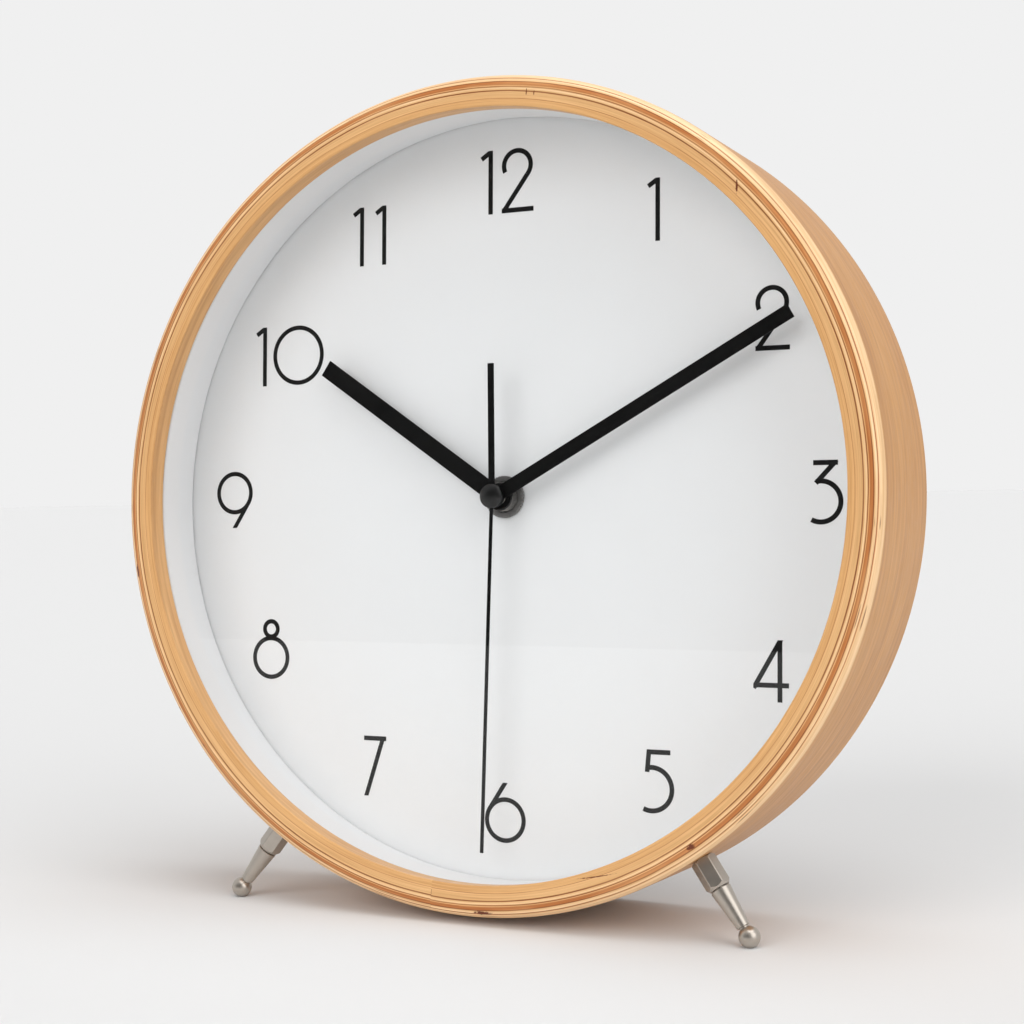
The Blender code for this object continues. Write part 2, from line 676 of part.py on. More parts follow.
def dial_axis_stack():
    """Rubber washer, threaded bush and the knurled nut that hold the movement to the dial."""
    washer = ring(BUSH_RADIUS + LOOSE_FIT, RUBBER_RADIUS, RUBBER_FRONT, RUBBER_FRONT + RUBBER_THICKNESS)
    turned("rubber_washer", washer, "rubber", steps=32)
    bore = HOUR_PIPE_RADIUS + RUNNING_FIT
    flange_width, flange_thickness = BUSH_FLANGE
    flange_radius = BUSH_RADIUS + flange_width
    flange_rear = FLANGE_FRONT + flange_thickness
    profile = [
        (flange_radius, flange_rear),
        (flange_radius, FLANGE_FRONT),
        (BUSH_RADIUS, FLANGE_FRONT),
        (BUSH_RADIUS, DIAL_FRONT - BUSH_HEIGHT),
        (bore, DIAL_FRONT - BUSH_HEIGHT),
        (bore, flange_rear),
    ]
    turned("threaded_bush", profile, "black_plastic", steps=32)
    nut_radius = BUSH_RADIUS + NUT_WIDTH
    serrated = []
    for index in range(2 * NUT_SERRATIONS):
        radius = nut_radius if index % 2 else nut_radius - SERRATION_DEPTH
        serrated.append(polar(radius, math.pi * index / NUT_SERRATIONS))
    nut_front = DIAL_FRONT - GAP - NUT_THICKNESS
    loops = [serrated, circle(BUSH_RADIUS + LOOSE_FIT, 32)]
    flat("dial_nut", loops, nut_front, NUT_THICKNESS, "grey_metal")


def end(layer):
    """Depth just behind a layer, so that a hub stands a little proud of its gear."""
    return layer[0] + layer[1] + EMBED / 2


def motion_work():
    """Gears behind the dial that turn the hour hand and let the knob set both hands."""
    places = movement_places()
    bearing = MINUTE_WHEEL_BEARING

    # hour wheel: rides on the minute pipe, driven by the minute wheel's pinion
    front = DIAL_FRONT - HOUR_HAND["height"] - HAND_THICKNESS / 2
    bore = MINUTE_PIPE_RADIUS + RUNNING_FIT
    pipe = ring(bore, HOUR_PIPE_RADIUS, front, end(HOUR_LAYER))
    hour = turned("hour_wheel", pipe, "white_gear", steps=32)
    phase = mesh_phase(MINUTE_TO_HOUR, 0.0, bearing + math.pi)
    middle = (bore + HOUR_PIPE_RADIUS) / 2
    join(hour, gear("hour_teeth", MINUTE_TO_HOUR, 1, phase, HOUR_LAYER, hole=middle))

    # minute arbor: the cannon pinion and its pipe, bored for the seconds arbor
    front = DIAL_FRONT - MINUTE_HAND["height"] - HAND_THICKNESS / 2
    bore = ARBOR_RADIUS + RUNNING_FIT
    pipe = ring(bore, MINUTE_PIPE_RADIUS, front, end(CANNON_LAYER))
    minute = turned("minute_arbor", pipe, "brass", steps=24)
    middle = (bore + MINUTE_PIPE_RADIUS) / 2
    join(minute, gear("cannon_teeth", CANNON_TO_MINUTE, 0, 0.0, CANNON_LAYER, hole=middle))

    # minute wheel: a wheel and a pinion on one hub, on the case's post
    place = places["minute"]
    bore = WHEEL_POST_RADIUS + RUNNING_FIT
    hub = ring(bore, bore + HUB_WALL, HOUR_LAYER[0] - EMBED / 2, end(CANNON_LAYER))
    wheel = turned("minute_wheel", hub, "white_gear", (*place, 0), 16)
    wheel_phase = mesh_phase(CANNON_TO_MINUTE, 0.0, bearing)
    middle = bore + HUB_WALL / 2
    teeth = gear("minute_teeth", CANNON_TO_MINUTE, 1, wheel_phase, CANNON_LAYER, place, middle)
    pinion = gear("hour_pinion", MINUTE_TO_HOUR, 0, 0.0, HOUR_LAYER, place, middle)
    join(wheel, teeth, pinion)

    # setting knob: knob, shaft and pinion in one
    place = places["setting"]
    front = MOVEMENT_BACK + 2 * GAP
    rear = front + KNOB_HEIGHT
    profile = [
        (0, rear),
        (KNOB_RADIUS - KNOB_CHAMFER, rear),
        (KNOB_RADIUS, rear - KNOB_CHAMFER),
        (KNOB_RADIUS, front),
        (SHAFT_RADIUS, front),
        (SHAFT_RADIUS, FLOOR + GAP),
        (0, FLOOR + GAP),
    ]
    knob = turned("setting_knob", profile, "black_plastic", (*place, 0), 24, False)
    phase = mesh_phase(SETTING_TO_MINUTE, wheel_phase, SETTING_BEARING, driver=1)
    join(knob, gear("setting_teeth", SETTING_TO_MINUTE, 0, phase, CANNON_LAYER, place))


def spindle(name, place, front, rear, surface="steel"):
    """Solid arbor of the going train."""
    return turned(name, rod(ARBOR_RADIUS, front, rear), surface, (*place, 0), 12, False)


def going_train():
    """Gears from the rotor down to the centre wheel; the phases put teeth into gaps."""
    places = movement_places()
    behind_plate = MIDDLE_PLATE_FRONT + EMBED / 2

    # centre wheel: runs on the seconds arbor behind the minute arbor
    bore = ARBOR_RADIUS + RUNNING_FIT
    hub = ring(bore, bore + 2 * HUB_WALL, CENTRE_LAYER[0] - EMBED, end(CENTRE_LAYER))
    centre = turned("centre_wheel", hub, "brass", steps=16)
    phase = mesh_phase(THIRD_TO_CENTRE, 0.0, THIRD_BEARING + math.pi)
    join(centre, gear("centre_teeth", THIRD_TO_CENTRE, 1, phase, CENTRE_LAYER, hole=bore + HUB_WALL))

    # third wheel: pinion in front of the middle plate, wheel behind it
    place = places["third"]
    third = spindle("third_wheel", place, FLOOR + GAP, ARBOR_END)
    phase = mesh_phase(SECONDS_TO_THIRD, 0.0, THIRD_BEARING)
    teeth = gear("third_teeth", SECONDS_TO_THIRD, 1, phase, THIRD_LAYER, place)
    join(third, teeth, gear("third_pinion", THIRD_TO_CENTRE, 0, 0.0, THIRD_PINION_LAYER, place))

    # seconds wheel: its arbor carries the second hand through the minute pipe
    front = DIAL_FRONT - SECOND_HAND["height"] + 2 * GAP
    seconds = spindle("seconds_wheel", places["main"], front, ARBOR_END)
    phase = mesh_phase(INTERMEDIATE_TO_SECONDS, 0.0, INTERMEDIATE_BEARING + math.pi)
    teeth = gear("seconds_teeth", INTERMEDIATE_TO_SECONDS, 1, phase, SECONDS_LAYER)
    join(seconds, teeth, gear("seconds_pinion", SECONDS_TO_THIRD, 0, 0.0, SECONDS_PINION_LAYER))

    # intermediate wheel: between the rotor and the seconds wheel
    place = places["intermediate"]
    wheel = spindle("intermediate_wheel", place, behind_plate, ARBOR_END)
    phase = mesh_phase(ROTOR_TO_INTERMEDIATE, 0.0, ROTOR_BEARING + math.pi)
    teeth = gear("intermediate_teeth", ROTOR_TO_INTERMEDIATE, 1, phase, INTERMEDIATE_LAYER, place)
    layer = INTERMEDIATE_PINION_LAYER
    join(wheel, teeth, gear("intermediate_pinion", INTERMEDIATE_TO_SECONDS, 0, 0.0, layer, place))

    # rotor: magnet inside the stator's bore, pinion behind it
    place = places["rotor"]
    magnet_radius, magnet_length = MAGNET
    magnet_front = STATOR_LAYER[0]
    profile = [
        (0, ARBOR_END),
        (ARBOR_RADIUS, ARBOR_END),
        (ARBOR_RADIUS, magnet_front + magnet_length),
        (magnet_radius, magnet_front + magnet_length),
        (magnet_radius, magnet_front),
        (ARBOR_RADIUS, magnet_front),
        (ARBOR_RADIUS, behind_plate),
        (0, behind_plate),
    ]
    rotor = turned("rotor", profile, "magnet", (*place, 0), 24, False)
    join(rotor, gear("rotor_teeth", ROTOR_TO_INTERMEDIATE, 0, 0.0, ROTOR_PINION_LAYER, place))


def motor_and_board():
    """Stator, coil on its core, and the circuit board with crystal and chip."""
    rotor_x, rotor_y = movement_places()["rotor"]
    left = rotor_x - STATOR_BORE - STATOR_RIM
    right = ROOM_HALF - STATOR_MARGIN
    bottom = rotor_y + STATOR_BORE + STATOR_RIM
    notch = rotor_y - STATOR_BORE - STATOR_RIM
    top = -GEAR_ROOM_ABOVE + 2 * STATOR_MARGIN
    outline = [
        (left, bottom),
        (left, top),
        (left + STATOR_LEG, top),
        (left + STATOR_LEG, notch),
        (right - STATOR_LEG, notch),
        (right - STATOR_LEG, top),
        (right, top),
        (right, bottom),
    ]
    bore = circle(STATOR_BORE, 24, (rotor_x, rotor_y))
    flat("stator", [outline, bore], STATOR_LAYER[0], STATOR_LAYER[1], "steel")

    core_front = STATOR_LAYER[0] + STATOR_LAYER[1] + GAP
    core_y = top + CORE_WIDTH / 2 + GAP * 2
    block(
        "coil_core",
        (left, core_y - CORE_WIDTH / 2, core_front),
        (right, core_y + CORE_WIDTH / 2, core_front + CORE_THICKNESS),
        "steel",
    )
    half = (right - left) / 2 - STATOR_LEG - COIL_END_PLAY
    winding = COIL_RADIUS - COIL_FLANGE
    profile = [
        (COIL_RADIUS, half),
        (COIL_RADIUS, half - COIL_FLANGE),
        (winding, half - COIL_FLANGE),
        (winding, COIL_FLANGE - half),
        (COIL_RADIUS, COIL_FLANGE - half),
        (COIL_RADIUS, -half),
        (COIL_BORE, -half),
        (COIL_BORE, half),
    ]
    middle = ((left + right) / 2, core_y, core_front + CORE_THICKNESS / 2)
    coil = turned("coil", profile, "copper", middle, 20)
    coil.rotation_euler = (0, math.pi / 2, 0)

    low, high = board_corners()
    block("circuit_board", (*low, BOARD_FRONT), (*high, BOARD_FRONT + PLATE_THICKNESS), "board")
    crystal_radius, crystal_length = CRYSTAL
    crystal = turned(
        "quartz_crystal",
        rod(crystal_radius, 0, crystal_length),
        "nickel",
        (low[0] + CRYSTAL_INSET[0], high[1] - CRYSTAL_INSET[1], BOARD_FRONT - GAP - crystal_radius),
        12,
        False,
    )
    crystal.rotation_euler = (0, math.pi / 2, 0)
    chip_radius, chip_height = CHIP
    chip_rear = BOARD_FRONT - GAP
    profile = [(0, chip_rear), (chip_radius, chip_rear), (chip_radius, chip_rear - chip_height / 2)]
    profile += [(chip_radius * HEAD_TOP, chip_rear - chip_height), (0, chip_rear - chip_height)]
    centre = ((low[0] + high[0]) / 2, (low[1] + high[1]) / 2, 0)
    turned("driver_chip", profile, "black_plastic", centre, 16, False)


def power():
    """Battery across its bay, with a contact at each end."""
    axis_down = (BAY_TOP + BAY_BOTTOM) / 2
    axis_depth = FLOOR + GAP + BATTERY_RADIUS
    start = -BATTERY_LENGTH / 2 + GAP / 2
    nub_radius, nub_length = BATTERY_NUB
    body_end = start + BATTERY_LENGTH - nub_length
    profile = [
        (0, start + BATTERY_LENGTH),
        (nub_radius, start + BATTERY_LENGTH),
        (nub_radius, body_end),
        (BATTERY_RADIUS - BATTERY_SHOULDER, body_end),
        (BATTERY_RADIUS, body_end - BATTERY_SHOULDER),
        (BATTERY_RADIUS, start + BATTERY_SHOULDER / 2),
        (BATTERY_RADIUS - BATTERY_SHOULDER / 2, start),
        (0, start),
    ]
    battery = turned("battery", profile, "battery_wrap", (0, axis_down, axis_depth), 28, False)
    battery.rotation_euler = (0, math.pi / 2, 0)

    outer = ROOM_HALF - GAP
    half = CONTACT_HEIGHT / 2
    front = axis_depth - CONTACT_DEPTH / 2
    low = (outer - CONTACT_THICKNESS, axis_down - half)
    plate = rounded_box(low, (outer, axis_down + half), CONTACT_THICKNESS / 4, 1)
    flat("battery_contact_positive", [plate], front, CONTACT_DEPTH, "nickel")
    spring = []
    for edge in (0.0, CONTACT_THICKNESS):
        side = []
        for step in range(7):
            share = step / 6
            bow = CONTACT_BOW * math.sin(math.pi * share)
            side.append((-outer + edge + bow, axis_down + half * (2 * share - 1)))
        spring += side if edge else side[::-1]
    flat("battery_contact_negative", [spring], front, CONTACT_DEPTH, "nickel")


# --- hands --------------------------------------------------------------------------------------
def dial_angle(clock_degrees):
    """Angle on the dial plane of a direction given clockwise from twelve."""
    return math.radians(clock_degrees - 90)


def hand_outline(blades, boss):
    """Round boss with straight blades, each (angle, width, reach)."""
    points = []
    count = len(blades)
    for index, (angle, width, reach) in enumerate(blades):
        half = width / 2
        along = Vector((math.cos(angle), math.sin(angle)))
        across = Vector((-along.y, along.x))
        root = math.sqrt(boss**2 - half**2)
        for forward, side in ((root, -half), (reach, -half), (reach, half), (root, half)):
            points.append(tuple(along * forward + across * side))
        next_angle, next_width, _ = blades[(index + 1) % count]
        start = angle + math.asin(half / boss)
        end = next_angle - math.asin(next_width / 2 / boss)
        while end <= start:
            end += math.tau
        steps = max(4, round((end - start) / math.radians(18)))
        for step in range(1, steps):
            points.append(polar(boss, start + (end - start) * step / steps))
    return points


def hand(name, sizes, pipe):
    """Hour or minute hand, pressed on its pipe."""
    blades = [(dial_angle(sizes["angle"]), sizes["width"], sizes["reach"])]
    boss = max(pipe, sizes["width"] / 2) + HAND_BOSS_WALL
    loops = [hand_outline(blades, boss), circle(pipe + RUNNING_FIT, 24)]
    flat(name, loops, DIAL_FRONT - sizes["height"], HAND_THICKNESS, "black_paint")


def hands():
    hand("hour_hand", HOUR_HAND, HOUR_PIPE_RADIUS)
    hand("minute_hand", MINUTE_HAND, MINUTE_PIPE_RADIUS)
    front = DIAL_FRONT - SECOND_HAND["height"]
    hole = ARBOR_RADIUS + RUNNING_FIT
    blades = [
        (dial_angle(SECOND_HAND["angle"]), SECOND_HAND["width"], SECOND_HAND["reach"]),
        (dial_angle(TAIL["angle"]), TAIL["width"], TAIL["reach"]),
    ]
    boss, boss_depth = SECOND_BOSS
    loops = [hand_outline(blades, boss), circle(2 * hole, 16)]
    needle = flat("second_hand", loops, front, HAND_THICKNESS, "black_paint")
    rear = front + boss_depth
    collar = ring(hole, boss - EMBED, front + EMBED / 2, rear)
    join(needle, turned("second_hand_collar", collar, steps=16))
    base = front - GAP
    profile = [(0, base), (CAP_RADIUS, base)]
    for step in range(5):
        angle = math.radians(90 * step / 5)
        height = CAP_RIM + (CAP_HEIGHT - CAP_RIM) * math.sin(angle)
        profile.append((CAP_RADIUS * math.cos(angle), base - height))
    profile.append((0, base - CAP_HEIGHT))
    turned("second_hand_cap", profile, "black_paint", steps=24, closed=False)


# --- assembly -----------------------------------------------------------------------------------
def clear_scene():
    for obj in list(bpy.data.objects):
        bpy.data.objects.remove(obj, do_unlink=True)


def make_frame():
    """Collections, the leaning empty, and the table that the feet are cut flat to."""
    global CLOCK
    for name in ("mantel_clock", "cutters"):
        collection = bpy.data.collections.new(name)
        bpy.context.scene.collection.children.link(collection)
    CLOCK = bpy.data.objects.new("clock_frame", None)
    bpy.data.collections["mantel_clock"].objects.link(CLOCK)
    CLOCK.rotation_euler = (-(math.pi / 2 + LEAN), 0, 0)
    CLOCK.location = (0, depth_offset(), ground_height())
    reach = 2 * CASE_RADIUS
    table = block("table", (-reach, -reach, -CASE_DEPTH), (reach, reach, 0.0))
    table.parent = None


def depth_offset():
    """Puts the origin half way between the frontmost and rearmost points."""
    low = (CASE_RADIUS - FRONT_ROUNDING) * math.sin(LEAN)
    high = (CASE_RADIUS - REAR_CHAMFER) * math.sin(LEAN) + CASE_DEPTH * math.cos(LEAN)
    return (low - high) / 2


def build():
    clear_scene()
    make_frame()
    hoop = case_ring()
    glass_lens()
    liner_ring()
    dial_plate()
    back()
    leg(-1, "left", hoop)
    leg(1, "right", hoop)
    movement_case()
    dial_axis_stack()
    motion_work()
    going_train()
    motor_and_board()
    power()
    hands()
    bpy.context.view_layer.update()


build()
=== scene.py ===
"""Looks of a round mantel clock: a bent plywood hoop on two small metal feet.

Pieces are drawn in the clock's own frame, which leans back with it: X to the right, Y up the dial
and Z towards the viewer, with the origin on the dial axis at the hoop's front edge. They are then
laid into the row frame, around the packed solids. All sizes are in metres.
"""

import json
import math

import bmesh
import bpy
from bpy.props import FloatProperty, FloatVectorProperty, IntProperty
from mathutils import Matrix, Vector


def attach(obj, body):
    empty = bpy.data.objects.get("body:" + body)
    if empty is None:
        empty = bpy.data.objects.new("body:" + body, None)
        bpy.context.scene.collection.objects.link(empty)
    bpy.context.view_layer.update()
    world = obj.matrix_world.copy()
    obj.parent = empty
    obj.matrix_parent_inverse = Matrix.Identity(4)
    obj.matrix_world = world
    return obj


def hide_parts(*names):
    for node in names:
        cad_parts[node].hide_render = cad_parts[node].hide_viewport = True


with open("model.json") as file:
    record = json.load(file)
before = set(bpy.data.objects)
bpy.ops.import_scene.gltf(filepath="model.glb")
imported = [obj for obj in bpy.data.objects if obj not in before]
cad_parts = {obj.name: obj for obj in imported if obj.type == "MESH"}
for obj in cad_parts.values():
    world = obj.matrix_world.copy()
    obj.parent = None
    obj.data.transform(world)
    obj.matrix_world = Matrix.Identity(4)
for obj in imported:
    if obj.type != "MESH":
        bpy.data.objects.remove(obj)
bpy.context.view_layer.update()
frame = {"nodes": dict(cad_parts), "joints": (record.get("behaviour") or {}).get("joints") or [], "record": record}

bl_info = {
    "name": "Mantel clock looks",
    "version": (1, 0, 0),
    "blender": (4, 5, 0),
    "location": "3D View > Sidebar > Mantel clock",
    "description": "Detailed pieces, finishes and studio of a round wooden mantel clock",
    "category": "Object",
}

WELD = 1e-6             # points closer than this are merged
NEAR = 1e-5             # a point this close to a corner is on it
MIDDLE = (0.3, 0.7)     # most values of a noise lie between these


# --- the clock's own frame ------------------------------------------------------------------------
def clock_frame():
    """Matrix from the clock's own frame to the row frame, taken from the hands' joint and the hoop."""
    joint = next(each for each in frame["joints"] if each["name"] == "minute_turn")
    front = -Vector(joint["axis"]).normalized()
    right = Vector((1, 0, 0))
    up = front.cross(right)
    turn = Matrix((right, up, front)).transposed()
    face = max(front.dot(vert.co) for vert in frame["nodes"]["case_ring"].data.vertices)
    centre = Vector(joint["pos_m"])
    centre += front * (face - front.dot(centre))
    return Matrix.Translation(centre) @ turn.to_4x4()


CLOCK = clock_frame()
INTO_CLOCK = CLOCK.inverted()


def extent(node):
    """Lowest and highest corner of a packed solid in the clock's own frame."""
    points = [INTO_CLOCK @ vert.co for vert in frame["nodes"][node].data.vertices]
    low = Vector([min(point[axis] for point in points) for axis in range(3)])
    high = Vector([max(point[axis] for point in points) for axis in range(3)])
    return low, high


def radii(node):
    """Least and greatest distance of a packed solid's corners from the dial axis."""
    points = [INTO_CLOCK @ vert.co for vert in frame["nodes"][node].data.vertices]
    spans = [math.hypot(point.x, point.y) for point in points]
    return min(spans), max(spans)


# --- shapes ---------------------------------------------------------------------------------------
def trace(shape, points, closed):
    """Wire through (radius, height) points in the plane that gets turned."""
    verts = [shape.verts.new((radius, 0, height)) for radius, height in points]
    edges = [shape.edges.new(pair) for pair in zip(verts, verts[1:])]
    if closed:
        edges.append(shape.edges.new((verts[-1], verts[0])))
    return verts + edges


def clean(shape):
    """Merge doubles and point the faces outwards."""
    bmesh.ops.remove_doubles(shape, verts=shape.verts, dist=WELD)
    bmesh.ops.dissolve_degenerate(shape, edges=shape.edges, dist=WELD)
    bmesh.ops.recalc_face_normals(shape, faces=shape.faces)
    return shape


def turned(points, steps, closed=True):
    """Profile of (radius, height) points turned about the Z axis."""
    shape = bmesh.new()
    bmesh.ops.spin(
        shape,
        geom=trace(shape, points, closed),
        cent=(0, 0, 0),
        axis=(0, 0, 1),
        angle=math.tau,
        steps=steps,
        use_merge=True,
    )
    return clean(shape)


def bowed(centre, radius, start, end, steps):
    """Points of an arc in a (radius, height) profile; angles in degrees, 90 is +Z."""
    turns = [math.radians(start + (end - start) * step / steps) for step in range(steps + 1)]
    return [(centre[0] + radius * math.cos(a), centre[1] + radius * math.sin(a)) for a in turns]


def round_rings(shape, corners, width, segments=3):
    """Bevel the rings that the given (radius, height) corners of a turned profile made."""

    def on_corner(vert):
        return any(
            abs(math.hypot(vert.co.x, vert.co.y) - radius) < NEAR and abs(vert.co.z - height) < NEAR
            for radius, height in corners
        )

    rings = [
        edge
        for edge in shape.edges
        if all(on_corner(vert) for vert in edge.verts)
        and abs(edge.verts[0].co.z - edge.verts[1].co.z) < NEAR
    ]
    round_edges(shape, rings, width, segments)


def round_edges(shape, edges, width, segments=2):
    bmesh.ops.bevel(
        shape,
        geom=list(edges),
        offset=width,
        offset_type="OFFSET",
        segments=segments,
        affect="EDGES",
        profile=0.5,
        material=-1,
    )


def round_sharp(shape, width, segments=2, over=40):
    """Bevel every edge sharper than an angle in degrees."""
    limit = math.radians(over)
    sharp = [edge for edge in shape.edges if len(edge.link_faces) == 2 and edge.calc_face_angle() > limit]
    round_edges(shape, sharp, width, segments)


def upright_edges(shape):
    """Edges of a prism that run from its foot to its top."""
    return [edge for edge in shape.edges if abs(edge.verts[0].co.z - edge.verts[1].co.z) > WELD]


def block(low, high):
    """Closed box between two corners."""
    shape = bmesh.new()
    bmesh.ops.create_cube(shape, size=1)
    low, high = Vector(low), Vector(high)
    bmesh.ops.scale(shape, vec=high - low, verts=shape.verts)
    bmesh.ops.translate(shape, vec=(low + high) / 2, verts=shape.verts)
    return shape


def disc(radius, low, high, steps=48, place=(0, 0)):
    """Closed cylinder between two heights."""
    shape = bmesh.new()
    lay = Matrix.Translation((*place, (low + high) / 2))
    bmesh.ops.create_cone(
        shape, cap_ends=True, segments=steps, radius1=radius, radius2=radius, depth=high - low, matrix=lay
    )
    return shape


def plate(radius, bore, low, high, cell=0.01, steps=240, bore_steps=64):
    """Round plate with a bore, its flat faces cut into squares so that no long sliver crosses them."""
    shape = disc(radius, low, high, steps)
    lines = int(radius / cell)
    for step in range(-lines, lines + 1):
        for normal in (Vector((1, 0, 0)), Vector((0, 1, 0))):
            geometry = shape.verts[:] + shape.edges[:] + shape.faces[:]
            bmesh.ops.bisect_plane(shape, geom=geometry, plane_co=normal * step * cell, plane_no=normal)
    return combined([shape, disc(bore, low - cell, high + cell, bore_steps)], "DIFFERENCE")


def ring_section(low, high, inner, outer):
    """Section of a plain ring between two corners' heights."""
    return [(outer, low.z), (outer, high.z), (inner, high.z), (inner, low.z)]


def flute(shape, beyond, steps, every, chosen, share):
    """Draw in the chosen steps of every few round a turned shape, past a radius."""
    valleys = []
    for vert in shape.verts:
        if math.hypot(vert.co.x, vert.co.y) < beyond:
            continue
        step = round((math.atan2(vert.co.y, vert.co.x) % math.tau) / math.tau * steps)
        if step % every in chosen:
            valleys.append(vert)
    bmesh.ops.scale(shape, vec=(share, share, 1), verts=valleys)


def moved(shape, matrix):
    bmesh.ops.transform(shape, matrix=matrix, verts=shape.verts)
    return shape


def combined(shapes, operation="UNION"):
    """One closed shape from several, by Boolean modifiers on the first."""
    things = []
    for number, shape in enumerate(shapes):
        mesh = bpy.data.meshes.new(f"part_{number}")
        shape.to_mesh(mesh)
        shape.free()
        thing = bpy.data.objects.new(f"part_{number}", mesh)
        bpy.context.scene.collection.objects.link(thing)
        things.append(thing)
    for other in things[1:]:
        modifier = things[0].modifiers.new(other.name, "BOOLEAN")
        modifier.operation = operation
        modifier.solver = "EXACT"
        modifier.object = other
    bpy.context.view_layer.update()
    result = bmesh.new()
    result.from_object(things[0], bpy.context.evaluated_depsgraph_get())
    for thing in things:
        mesh = thing.data
        bpy.data.objects.remove(thing, do_unlink=True)
        bpy.data.meshes.remove(mesh)
    bmesh.ops.remove_doubles(result, verts=result.verts, dist=WELD)
    return result


def piece(name, shape, finish, body, replaced=(), crease=32, lay=None, fair=True):
    """Finished piece of the object, riding on a body, from a shape in the clock's own frame."""
    mesh = bpy.data.meshes.new(name)
    shape.to_mesh(mesh)
    shape.free()
    if lay is not None:
        mesh.transform(lay)
    mesh.transform(CLOCK)
    mesh.materials.append(finish)
    mesh.shade_smooth()
    mesh.set_sharp_from_angle(angle=math.radians(crease))
    obj = bpy.data.objects.new(name, mesh)
    bpy.context.scene.collection.objects.link(obj)
    if fair:
        obj.modifiers.new("fair", "WEIGHTED_NORMAL").keep_sharp = True
    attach(obj, body)
    if replaced:
        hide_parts(*replaced)
    return obj


# --- finishes -------------------------------------------------------------------------------------
class Wiring:
    """Node tree of one finish. Inputs given as sockets are linked, and the rest are set."""

    def __init__(self, name, metallic=0.0, **fixed):
        self.material = bpy.data.materials.new(name)
        self.material.use_nodes = True
        self.tree = self.material.node_tree
        self.shader = self.tree.nodes["Principled BSDF"]
        self.output = self.tree.nodes["Material Output"]
        self.shader.inputs["Metallic"].default_value = metallic
        for socket, value in fixed.items():
            self.shader.inputs[socket.replace("_", " ")].default_value = value

    def node(self, kind, inputs, output=0, **settings):
        made = self.tree.nodes.new("ShaderNode" + kind)
        for key, value in settings.items():
            setattr(made, key, value)
        for key, value in inputs.items():
            self.plug(made.inputs[key], value)
        return made.outputs[output]

    def plug(self, socket, value):
        if isinstance(value, bpy.types.NodeSocket):
            self.tree.links.new(value, socket)
        else:
            socket.default_value = value

    def place(self, lay=None):
        """Object coordinates, in the clock's own frame or in the frame that lay gives."""
        into = (CLOCK @ lay).inverted() if lay is not None else INTO_CLOCK
        coordinates = self.node("TexCoord", {}, "Object")
        turn = {"Vector": coordinates, "Location": into.translation, "Rotation": into.to_euler()}
        return self.node("Mapping", turn)

    def math(self, operation, *values, clamp=False):
        return self.node("Math", dict(enumerate(values)), operation=operation, use_clamp=clamp)

    def noise(self, vector, scale, detail=3.0, rough=0.5):
        return self.node(
            "TexNoise", {"Vector": vector, "Scale": scale, "Detail": detail, "Roughness": rough}, "Fac"
        )

    def stretch(self, vector, scale):
        return self.node("Mapping", {"Vector": vector, "Scale": scale})

    def most(self, values):
        """Greatest of several values."""
        first, *rest = values
        for value in rest:
            first = self.math("MAXIMUM", first, value)
        return first

    def ramp(self, value, stops):
        """Colour ramp; stops are (position, colour)."""
        colours = self.node("ValToRGB", {"Fac": value})
        elements = colours.node.color_ramp.elements
        while len(elements) > 1:
            elements.remove(elements[-1])
        for number, (position, colour) in enumerate(stops):
            element = elements[0] if number == 0 else elements.new(position)
            element.position = position
            element.color = (*colour, 1.0)
        return colours

    def spread(self, value, low, high, start=0.0, end=1.0):
        """Value mapped from start..end to low..high."""
        inputs = {"Value": value, "From Min": start, "From Max": end, "To Min": low, "To Max": high}
        return self.node("MapRange", inputs)

    def blend(self, share, first, second, mode="MIX"):
        made = self.tree.nodes.new("ShaderNodeMix")
        made.data_type = "RGBA"
        made.blend_type = mode
        for key, value in (("Factor_Float", share), ("A_Color", first), ("B_Color", second)):
            socket = next(each for each in made.inputs if each.identifier == key)
            self.plug(socket, value)
        return next(each for each in made.outputs if each.identifier == "Result_Color")

    def bump(self, height, distance, strength=1.0):
        inputs = {"Height": height, "Distance": distance, "Strength": strength}
        self.tree.links.new(self.node("Bump", inputs), self.shader.inputs["Normal"])

    def colour(self, value):
        self.plug(self.shader.inputs["Base Color"], value)

    def roughness(self, value):
        self.plug(self.shader.inputs["Roughness"], value)


def shade(colour, factor):
    return tuple(min(1.0, channel * factor) for channel in colour)


def solid(colour):
    return (*colour, 1.0)


def moulded(name, colour, rough=0.5, grain=900.0, depth=0.00002, uneven=0.12, metallic=0.0, **fixed):
    """Moulded, painted or plain metal surface: cloudy colour, a fine texture and patchy gloss."""
    wiring = Wiring(name, metallic, **fixed)
    place = wiring.place()
    cloud = wiring.noise(place, 45.0, 4.0)
    fine = wiring.noise(place, grain, 3.0, 0.6)
    wiring.colour(wiring.blend(cloud, solid(shade(colour, 1 - uneven)), solid(shade(colour, 1 + uneven))))
    wiring.roughness(wiring.spread(fine, rough * 0.85, rough * 1.15, *MIDDLE))
    wiring.bump(fine, depth)
    return wiring.material


def machined(name, colour, rough, along, lay=None, depth=0.000004, uneven=0.35, metal=1.0):
    """Turned or brushed metal: fine lines round or along the piece, with faint smudges."""
    wiring = Wiring(name, metal)
    place = wiring.place(lay)
    lines = wiring.noise(wiring.stretch(place, along), 1.0, 3.0, 0.6)
    smudge = wiring.noise(place, 420.0, 3.0, 0.55)
    wiring.colour(wiring.blend(smudge, solid(shade(colour, 0.9)), solid(shade(colour, 1.08))))
    both = wiring.math("ADD", wiring.math("MULTIPLY", lines, 0.6), wiring.math("MULTIPLY", smudge, 0.4))
    wiring.roughness(wiring.spread(both, rough * (1 - uneven), rough * (1 + uneven), *MIDDLE))
    wiring.bump(lines, depth)
    return wiring.material


# Where the hoop's ends meet, in degrees anticlockwise from three o'clock.
SCARF_ANGLE = 264.6

